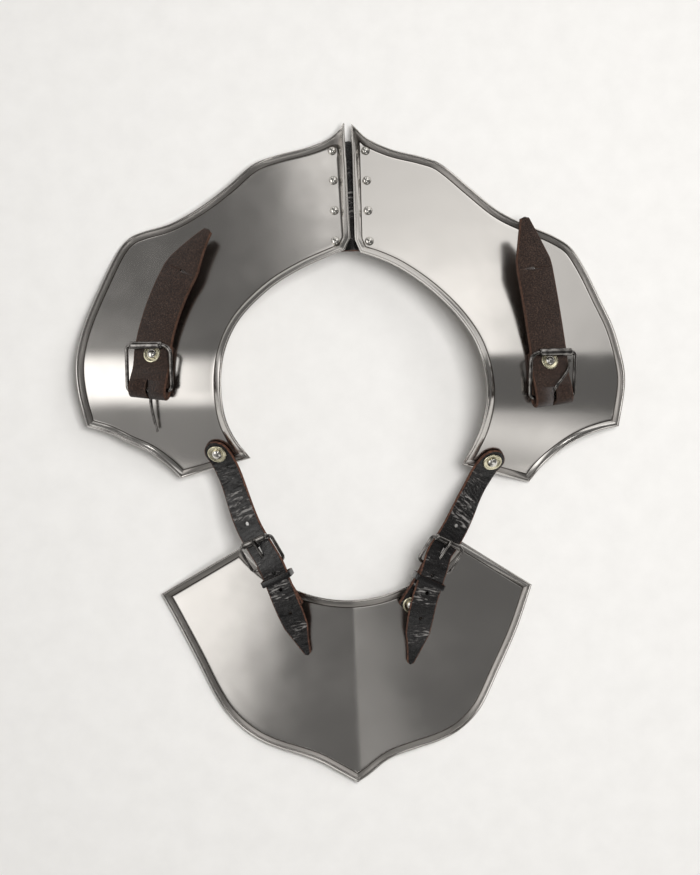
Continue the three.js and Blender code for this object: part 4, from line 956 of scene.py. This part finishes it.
for side in SIDES:
    row, buckle, leather = SHOULDER_STRAPS[side], SHOULDER_BUCKLE, SHOULDER_LEATHER
    origin = shoulder_plan(side, (row["out"], row["down"]))

    def seat_at(run):
        return on_surface(shoulder_height, *(origin + heading(row["foot"]) * run))

    def raised(run, height):
        at, up = seat_at(run)
        return at + up * height

    low = SEAT_GAP + leather / 2
    bar_height = SEAT_GAP + leather + buckle["wire"] + FOLD_ROOM
    radius = buckle["wire"] + FOLD_ROOM + leather / 2
    high = low + leather + GAP
    bar_up = seat_at(-FOOT_LENGTH)[1]
    bar = raised(-FOOT_LENGTH, bar_height)
    level = heading(row["foot"])
    along = unit(np.cross(bar_up, vec(level[1], -level[0], 0)))
    across = unit(np.cross(along, bar_up))
    stations = []
    for i in range(7):
        run = 9 - (9 + FOOT_LENGTH) * i / 7
        stations.append((raised(run, low), seat_at(run)[1], SHOULDER_STRAP))
    stations += fold(bar, along, bar_up, radius, SHOULDER_STRAP)
    for share, lift in ((0.82, 0.85), (0.62, 0.5), (0.42, 0.12), (0.2, 0), (0, 0), (-0.2, 0)):
        run = -FOOT_LENGTH * share
        level_height = high + lift * (bar_height + radius - high)
        stations.append((raised(run, level_height), -seat_at(run)[1], SHOULDER_STRAP))
    leave = stations[-1][0] - stations[-2][0]
    slope_start = math.degrees(math.atan2(leave[2], math.hypot(leave[0], leave[1])))
    steps = 16
    point = stations[-1][0].copy()
    holes = []
    for i in range(1, steps + 1):
        share = (i - 0.5) / steps
        plan = heading(row["start"] + (row["end"] - row["start"]) * share)
        slope = rad(slope_start + (TAIL_SLOPE - slope_start) * min(1, share * 1.6))
        step = vec(plan[0] * math.cos(slope), plan[1] * math.cos(slope), math.sin(slope))
        point = point + step * row["tail"] / steps
        remains = row["tail"] * (1 - i / steps)
        taper = TIP_SHARE + (1 - TIP_SHARE) * min(1, remains / TAPER_LENGTH)
        up = on_surface(shoulder_height, point[0], point[1])[1]
        if i == round(steps * TAIL_HOLE):
            holes.append(peg(point, up, step, TAIL_HOLE_RADIUS, TAIL_HOLE_DEPTH))
        stations.append((point, -up, SHOULDER_STRAP * taper))
    piece = strap(
        f"brown_strap_{side}", stations, leather, BROWN_FOLDED, ends=(6, 0.8), wrinkle=suede_wrinkle,
    )
    turn = rad(row["yaw"])
    bar_along = along * math.cos(turn) + across * math.sin(turn)
    bar_across = np.cross(bar_along, bar_up)
    holes.append(peg(bar + bar_along * 0.9, unit(bar_up), bar_along, 1.3, 7, 5.3))
    cut(piece, holes)
    hand_in(piece, f"shoulder_strap_{side}")
    seat_up = seat_at(0)[1]
    top = high + leather / 2
    piece = washer(f"brown_washer_{side}", raised(0, top + 0.05), seat_up, along, STRAP_RIVET)
    hand_in(piece, f"shoulder_washer_{side}")
    piece = rivet_head(f"brown_rivet_{side}", raised(0, top + 0.42), seat_up, along, STRAP_RIVET)
    hand_in(piece, f"shoulder_rivet_{side}")
    roller = raised(-FOOT_LENGTH + buckle["reach"], top + WASHER_WALL + buckle["roller"] + HEAD_ROOM)
    lean = roller - bar
    lean = unit(lean - bar_across * (lean @ bar_across))
    lean_up = unit(np.cross(bar_across, lean))

    def prong_at(run, height, aside=0):
        at = raised(-FOOT_LENGTH + run, height) - bar
        return at @ bar_along, aside, at @ bar_up

    if side == "left":
        room = PRONG_ROOM + buckle["prong"]
        eye = [300, 240, 180, 120, 60, 10, -40, -90]
        prong = (eye, [prong_at(run, height + room) for run, height in PRONG_OUT])
    else:
        eye = [-60, -120, 180, 120]
        prong = (eye, [prong_at(run, height + top, aside) for run, height, aside in PRONG_IN])
    buckle_pieces(
        "shoulder", side, buckle, bar, (lean, -bar_across, lean_up), (bar_along, -bar_across, bar_up), prong,
        [f"buckle_{side}", f"roller_{side}", f"prong_{side}"],
    )


# Buckled straps
def black_wrinkle_of(ranges, seed):
    """Creases across a black strap over given shares of its length."""
    def push(a, run, total):
        share = run / total
        force = 0
        for low, high, strength in ranges:
            fade = smoothstep(share, low, low + CREASE_FADE) * (1 - smoothstep(share, high - CREASE_FADE, high))
            force += strength * fade
        ridge = 1 - abs(noise.noise(Vector((a * 0.9 + seed, run / 3.2 + a * 0.7, seed))))
        soft = noise.noise(Vector((a * 1.5, run / 9, seed + 4)))
        return force * (ridge**3 - 0.6) + 0.12 * soft
    return push


for side in SIDES:
    row, buckle = FRONT_STRAPS[side], FRONT_BUCKLE
    foot = front_plan(row["chape_out"], row["chape_down"])
    way = heading(row["chape"])
    beside = np.array([way[1], -way[0]])

    def seat_at(run, aside):
        return on_surface(front_height, *(foot + way * run + beside * aside))

    def over(run, aside, height):
        at, up = seat_at(run, aside)
        return at + up * height

    low = SEAT_GAP + CHAPE_LEATHER / 2
    climb = math.tan(rad(CHAPE_RISE))

    def lower(run):
        return low + climb * min(max(run + 0.2 * CHAPE_LENGTH, 0), 0.75 * CHAPE_LENGTH)

    radius = buckle["wire"] + RUNNING + CHAPE_LEATHER / 2
    layers = CHAPE_LEATHER + GAP
    bar = over(CHAPE_LENGTH, 0, lower(CHAPE_LENGTH) + radius)
    up = seat_at(CHAPE_LENGTH, 0)[1]
    along = unit(np.cross(up, vec(beside[0], beside[1], 0)))
    across = unit(np.cross(along, up))
    shares = [-0.2, 0, 0.12, 0.22, 0.34, 0.46, 0.58, 0.8]
    chape = []
    for s in shares:
        at = over(s * CHAPE_LENGTH, 0, lower(s * CHAPE_LENGTH))
        chape.append((at, seat_at(s * CHAPE_LENGTH, 0)[1], CHAPE_WIDTH))
    chape += fold(bar, -along, up, radius, CHAPE_WIDTH)
    for s in reversed(shares):
        apart = layers + (2 * radius - layers) * smoothstep(s, 0.55, 1)
        at = over(s * CHAPE_LENGTH, 0, lower(s * CHAPE_LENGTH) + apart)
        chape.append((at, -seat_at(s * CHAPE_LENGTH, 0)[1], CHAPE_WIDTH))
    piece = strap(f"chape_fold_{side}", chape, CHAPE_LEATHER, BLACK_FOLDED, ends=(3, 3))
    cut(piece, [peg(bar - along * 1.0, up, along, 1.3, 6, 4)])
    hand_in(piece, f"chape_{side}")
    top = layers + CHAPE_LEATHER / 2 + 0.05
    chape_up = unit(seat_at(0, 0)[1] - along * climb)
    base = over(0, 0, lower(0))
    piece = washer(f"chape_ring_{side}", base + chape_up * top, chape_up, along, STRAP_RIVET)
    hand_in(piece, f"chape_washer_{side}")
    piece = rivet_head(f"chape_head_{side}", base + chape_up * (top + 0.4), chape_up, along, STRAP_RIVET)
    hand_in(piece, f"chape_rivet_{side}")

    under_roller = BILLET["height"][0] - ROLLER_DIP
    roller_run = CHAPE_LENGTH + buckle["reach"]
    aim = over(roller_run, 0, under_roller + FRONT_LEATHER / 2 + 2 * GAP + buckle["roller"])
    lean = aim - bar
    lean = unit(lean - across * (lean @ across))
    lean_up = unit(np.cross(across, lean))
    rest = buckle["roller"] + GAP + buckle["prong"]
    reach = buckle["reach"]
    prong = (
        [180, 240, 300, 360],
        [(3.6, 0, 1.6), (8, 0, 1.8), (15.5, 0, rest * 0.8), (reach, 0, rest + 0.25), (reach + 3, 0, rest)],
    )
    buckle_pieces(
        "front", side, buckle, bar, (lean, -across, lean_up), (lean, -across, lean_up), prong, ["gorget"] * 3,
    )

    start = shoulder_plan(side, (row["out"], row["down"]))
    down = heading(row["leave"]) * np.array([1, -1])

    def on_shoulder(run):
        return on_surface(shoulder_height, *(start + down * run))

    strap_low = SEAT_GAP + FRONT_LEATHER / 2
    stations = []
    for run, extra in ((-8, 0), (-5.5, 0), (-2, 0), (2, 0), (6, 0.4), (9.5, 1.6)):
        at, seat_up = on_shoulder(run)
        stations.append((at + seat_up * (strap_low + extra), seat_up, FRONT_STRAP))
    entry = over(roller_run, 0, under_roller)
    start_point, start_up, _ = stations[-1]
    from_way = unit(start_point - stations[-2][0])
    to_way = unit(over(BILLET["run"][0] * CHAPE_LENGTH, BILLET[side][0], BILLET["height"][0]) - entry)
    span = np.linalg.norm(entry - start_point)
    handles = [start_point, start_point + from_way * span * 0.3, entry - to_way * span * 0.36, entry]
    curve = []
    for k in range(41):
        t = k / 40
        weights = ((1 - t) ** 3, 3 * t * (1 - t) ** 2, 3 * t * t * (1 - t), t**3)
        curve.append(sum(c * h for c, h in zip(weights, handles)))
    entry_up = seat_at(roller_run, 0)[1]
    holes = []
    for k, at in enumerate(spaced(np.array(curve), AIR_STEPS)[1:], 1):
        blend = smoothstep(k / AIR_STEPS, 0, 0.8)
        stations.append((at, start_up * (1 - blend) + entry_up * blend, FRONT_STRAP))
        if k == AIR_HOLE:
            holes.append(peg(at, unit(stations[-1][1]), along, HOLE_RADIUS, HOLE_DEPTH))
    count = len(BILLET["run"])
    for i, share in enumerate(BILLET["run"]):
        at, seat_up = seat_at(share * CHAPE_LENGTH, BILLET[side][i])
        at = at + seat_up * BILLET["height"][i]
        taper = TIP_SHARE + (1 - TIP_SHARE) * min(1, (count - 1 - i) / 2.2)
        stations.append((at, seat_up, FRONT_STRAP * taper))
        if i in BILLET_HOLES:
            holes.append(peg(at, seat_up, along, HOLE_RADIUS, HOLE_DEPTH))
    piece = strap(
        f"black_strap_{side}", stations, FRONT_LEATHER, BLACK_SET, spacing=0.45, ends=(9, 1.6),
        wrinkle=black_wrinkle_of(row["creases"], 2.0 + SIDES[side]),
    )
    strap_at, strap_up = on_shoulder(0)
    top = strap_low + FRONT_LEATHER / 2 + 0.15
    holes.append(peg(bar + lean * 11.5 + lean_up * 1.5, lean_up, lean, 0.95, 4, 5))
    cut(piece, holes)
    hand_in(piece, f"front_strap_{side}")
    sideways = vec(down[0], down[1], 0)
    piece = washer(f"black_washer_{side}", strap_at + strap_up * top, strap_up, sideways, FRONT_RIVET)
    hand_in(piece, f"front_washer_{side}")
    head_at = strap_at + strap_up * (top + 0.38)
    piece = rivet_head(f"black_rivet_{side}", head_at, strap_up, sideways, FRONT_RIVET)
    hand_in(piece, f"front_rivet_{side}")

    # The keeper is a flat band round the chape and the strap.
    keeper_run = KEEPER_PLACE * CHAPE_LENGTH
    index = BILLET["run"].index(KEEPER_PLACE)
    shift = BILLET[side][index]
    low_z = lower(keeper_run) - CHAPE_LEATHER / 2 - KEEPER_ROOM / 2 - KEEPER_WALL / 2
    high_z = BILLET["height"][index] + FRONT_LEATHER / 2 + 0.5 * KEEPER_ROOM + KEEPER_WALL / 2
    keeper_at, keeper_up = seat_at(keeper_run, 0)
    left = -max(FRONT_STRAP / 2 - shift, CHAPE_WIDTH / 2) - KEEPER_ROOM / 2 - KEEPER_WALL / 2
    right = max(FRONT_STRAP / 2 + shift, CHAPE_WIDTH / 2) + KEEPER_ROOM / 2 + KEEPER_WALL / 2
    x = unit(along - keeper_up * (along @ keeper_up))
    y = np.cross(keeper_up, x)
    ring, r = [], KEEPER_CORNER
    for cy, cz, first in (
        (right - r, high_z - r, 90), (right - r, low_z + r, 0),
        (left + r, low_z + r, -90), (left + r, high_z - r, -180),
    ):
        for k in range(7):
            a = rad(first - 15 * k)
            ring.append((cy + r * math.cos(a), cz + r * math.sin(a)))
    ring = np.array(ring)
    middle = ring.mean(axis=0)
    section = [
        (-0.5, -0.35), (-0.35, -0.5), (0.35, -0.5), (0.5, -0.35),
        (0.5, 0.35), (0.38, 0.5), (-0.38, 0.5), (-0.5, 0.35),
    ]
    points, faces, slots = [], [], []
    tangent = np.roll(ring, -1, axis=0) - np.roll(ring, 1, axis=0)
    tangent /= np.linalg.norm(tangent, axis=1)[:, None]
    for p, t in zip(ring, tangent):
        out = np.array([-t[1], t[0]])
        if out @ (p - middle) < 0:
            out = -out
        for a, b in section:
            q = p + out * b * KEEPER_WALL
            points.append(keeper_at + x * a * KEEPER_LENGTH - y * q[0] + keeper_up * q[1])
    size = len(section)
    for i in range(len(ring)):
        for k in range(size):
            n, j = (k + 1) % size, (i + 1) % len(ring)
            faces.append((i * size + k, i * size + n, j * size + n, j * size + k))
            slots.append(1 if k in (3, 7) else 0)
    piece = make(f"keeper_band_{side}", points, faces, [BLACK, BLACK_EDGE], slots=slots, sharp=35)
    hand_in(piece, f"keeper_{side}")


# Floor
def floor_material():
    m, tree, shader = material("pale_floor", (0.86, 0.845, 0.82), 0.9)
    mottle = noisy(tree, coordinates(tree), 60, 4)
    color = ramp(tree, mottle, [(0.3, (0.84, 0.825, 0.8)), (0.7, (0.875, 0.86, 0.835))])
    tree.links.new(color, shader.inputs["Base Color"])
    shader.inputs["Specular IOR Level"].default_value = 0.1
    return m


mesh = bpy.data.meshes.new("floor")
mesh.from_pydata([(-3, -3, 0), (3, -3, 0), (3, 3, 0), (-3, 3, 0)], [], [(0, 1, 2, 3)])
mesh.materials.append(floor_material())
floor = bpy.data.objects.new("floor", mesh)
bpy.context.scene.collection.objects.link(floor)


# Light
def area(name, place, target, size, power, color=(1, 1, 1)):
    light = bpy.data.lights.new(name, "AREA")
    light.shape = "RECTANGLE"
    light.size, light.size_y = size
    light.energy = power
    light.color = color
    lamp = bpy.data.objects.new(name, light)
    lamp.location = place
    lamp.rotation_euler = (Vector(target) - Vector(place)).to_track_quat("-Z", "Y").to_euler()
    lamp.visible_glossy = False
    bpy.context.scene.collection.objects.link(lamp)
    return lamp


area("overhead", (0.3, 0.14, 1.5), (0, 0, 0), (0.5, 0.5), 17.5)
area("side", (2.0, 1.2, 2.6), (0, 0, 0), (1.4, 1.4), 20)

# The studio that the steel mirrors, seen from the object: soft boxes by the x and y parts of their
# directions, each with the width of its soft edge and its strength.
AMBIENT = 0.2
DARK_ROOM = 0.15
SOFT_BOXES = [
    ((-0.876, -0.578), (-0.407, 0.423), 0.2, 2.1),
    ((0.084, 0.557), (0.481, 1.06), 0.05, 0.78),
    ((0.05, 0.9), (0.49, 0.702), 0.07, 0.68),
    ((0.15, 0.695), (-0.906, -0.66), 0.16, 1.0),
    ((-0.94, -0.361), (-1.3, -0.408), 0.05, 0.155),
    ((0.12, 0.26), (-0.62, -0.36), 0.05, 0.3),
    ((-0.288, -0.146), (0.724, 1.03), 0.07, 1.14),
    ((-0.6, -0.42), (-0.52, -0.28), 0.06, 0.9),
    ((-0.08, 0.08), (-0.1, 0.12), 0.04, 5.0),
]


def stepped(tree, value, place, edge, to_low, to_high):
    """A soft step of a value at a place."""
    node = tree.nodes.new("ShaderNodeMapRange")
    node.interpolation_type = "SMOOTHERSTEP"
    for name, number in (
        ("From Min", place - edge), ("From Max", place + edge), ("To Min", to_low), ("To Max", to_high),
    ):
        node.inputs[name].default_value = number
    tree.links.new(value, node.inputs["Value"])
    return node.outputs["Result"]


world = bpy.data.worlds.new("studio")
world.use_nodes = True
bpy.context.scene.world = world
tree = world.node_tree
background = tree.nodes["Background"]
parts = tree.nodes.new("ShaderNodeSeparateXYZ")
tree.links.new(tree.nodes.new("ShaderNodeTexCoord").outputs["Generated"], parts.inputs[0])
total = DARK_ROOM
for across, up, edge, strength in SOFT_BOXES:
    glow = strength
    for value, (low, high) in ((parts.outputs["X"], across), (parts.outputs["Y"], up)):
        glow = combined(tree, "MULTIPLY", stepped(tree, value, low, edge, 0, 1), glow)
        glow = combined(tree, "MULTIPLY", stepped(tree, value, high, edge, 1, 0), glow)
    total = combined(tree, "ADD", glow, total)
total = combined(tree, "MAXIMUM", total, 0.02)
# Matt surfaces take an even light in place of the boxes.
even = tree.nodes.new("ShaderNodeLightPath").outputs["Is Diffuse Ray"]
mirrored = combined(tree, "MULTIPLY", total, combined(tree, "SUBTRACT", 1, even))
strength = combined(tree, "ADD", mirrored, combined(tree, "MULTIPLY", even, AMBIENT))
tree.links.new(strength, background.inputs["Strength"])
background.inputs["Color"].default_value = (1.0, 0.985, 0.965, 1)

# Camera, straight above
VIEW_HEIGHT = 1.55
camera = bpy.data.cameras.new("camera")
camera.sensor_fit = "HORIZONTAL"
camera.sensor_width = 36
camera.lens = 36 * VIEW_HEIGHT / 0.462
viewer = bpy.data.objects.new("camera", camera)
viewer.location = ((1.98 + SHIFT[0]) * MM, (-37.6 + SHIFT[1]) * MM, VIEW_HEIGHT)
bpy.context.scene.collection.objects.link(viewer)
bpy.context.scene.camera = viewer
bpy.context.scene.view_settings.view_transform = "Standard"
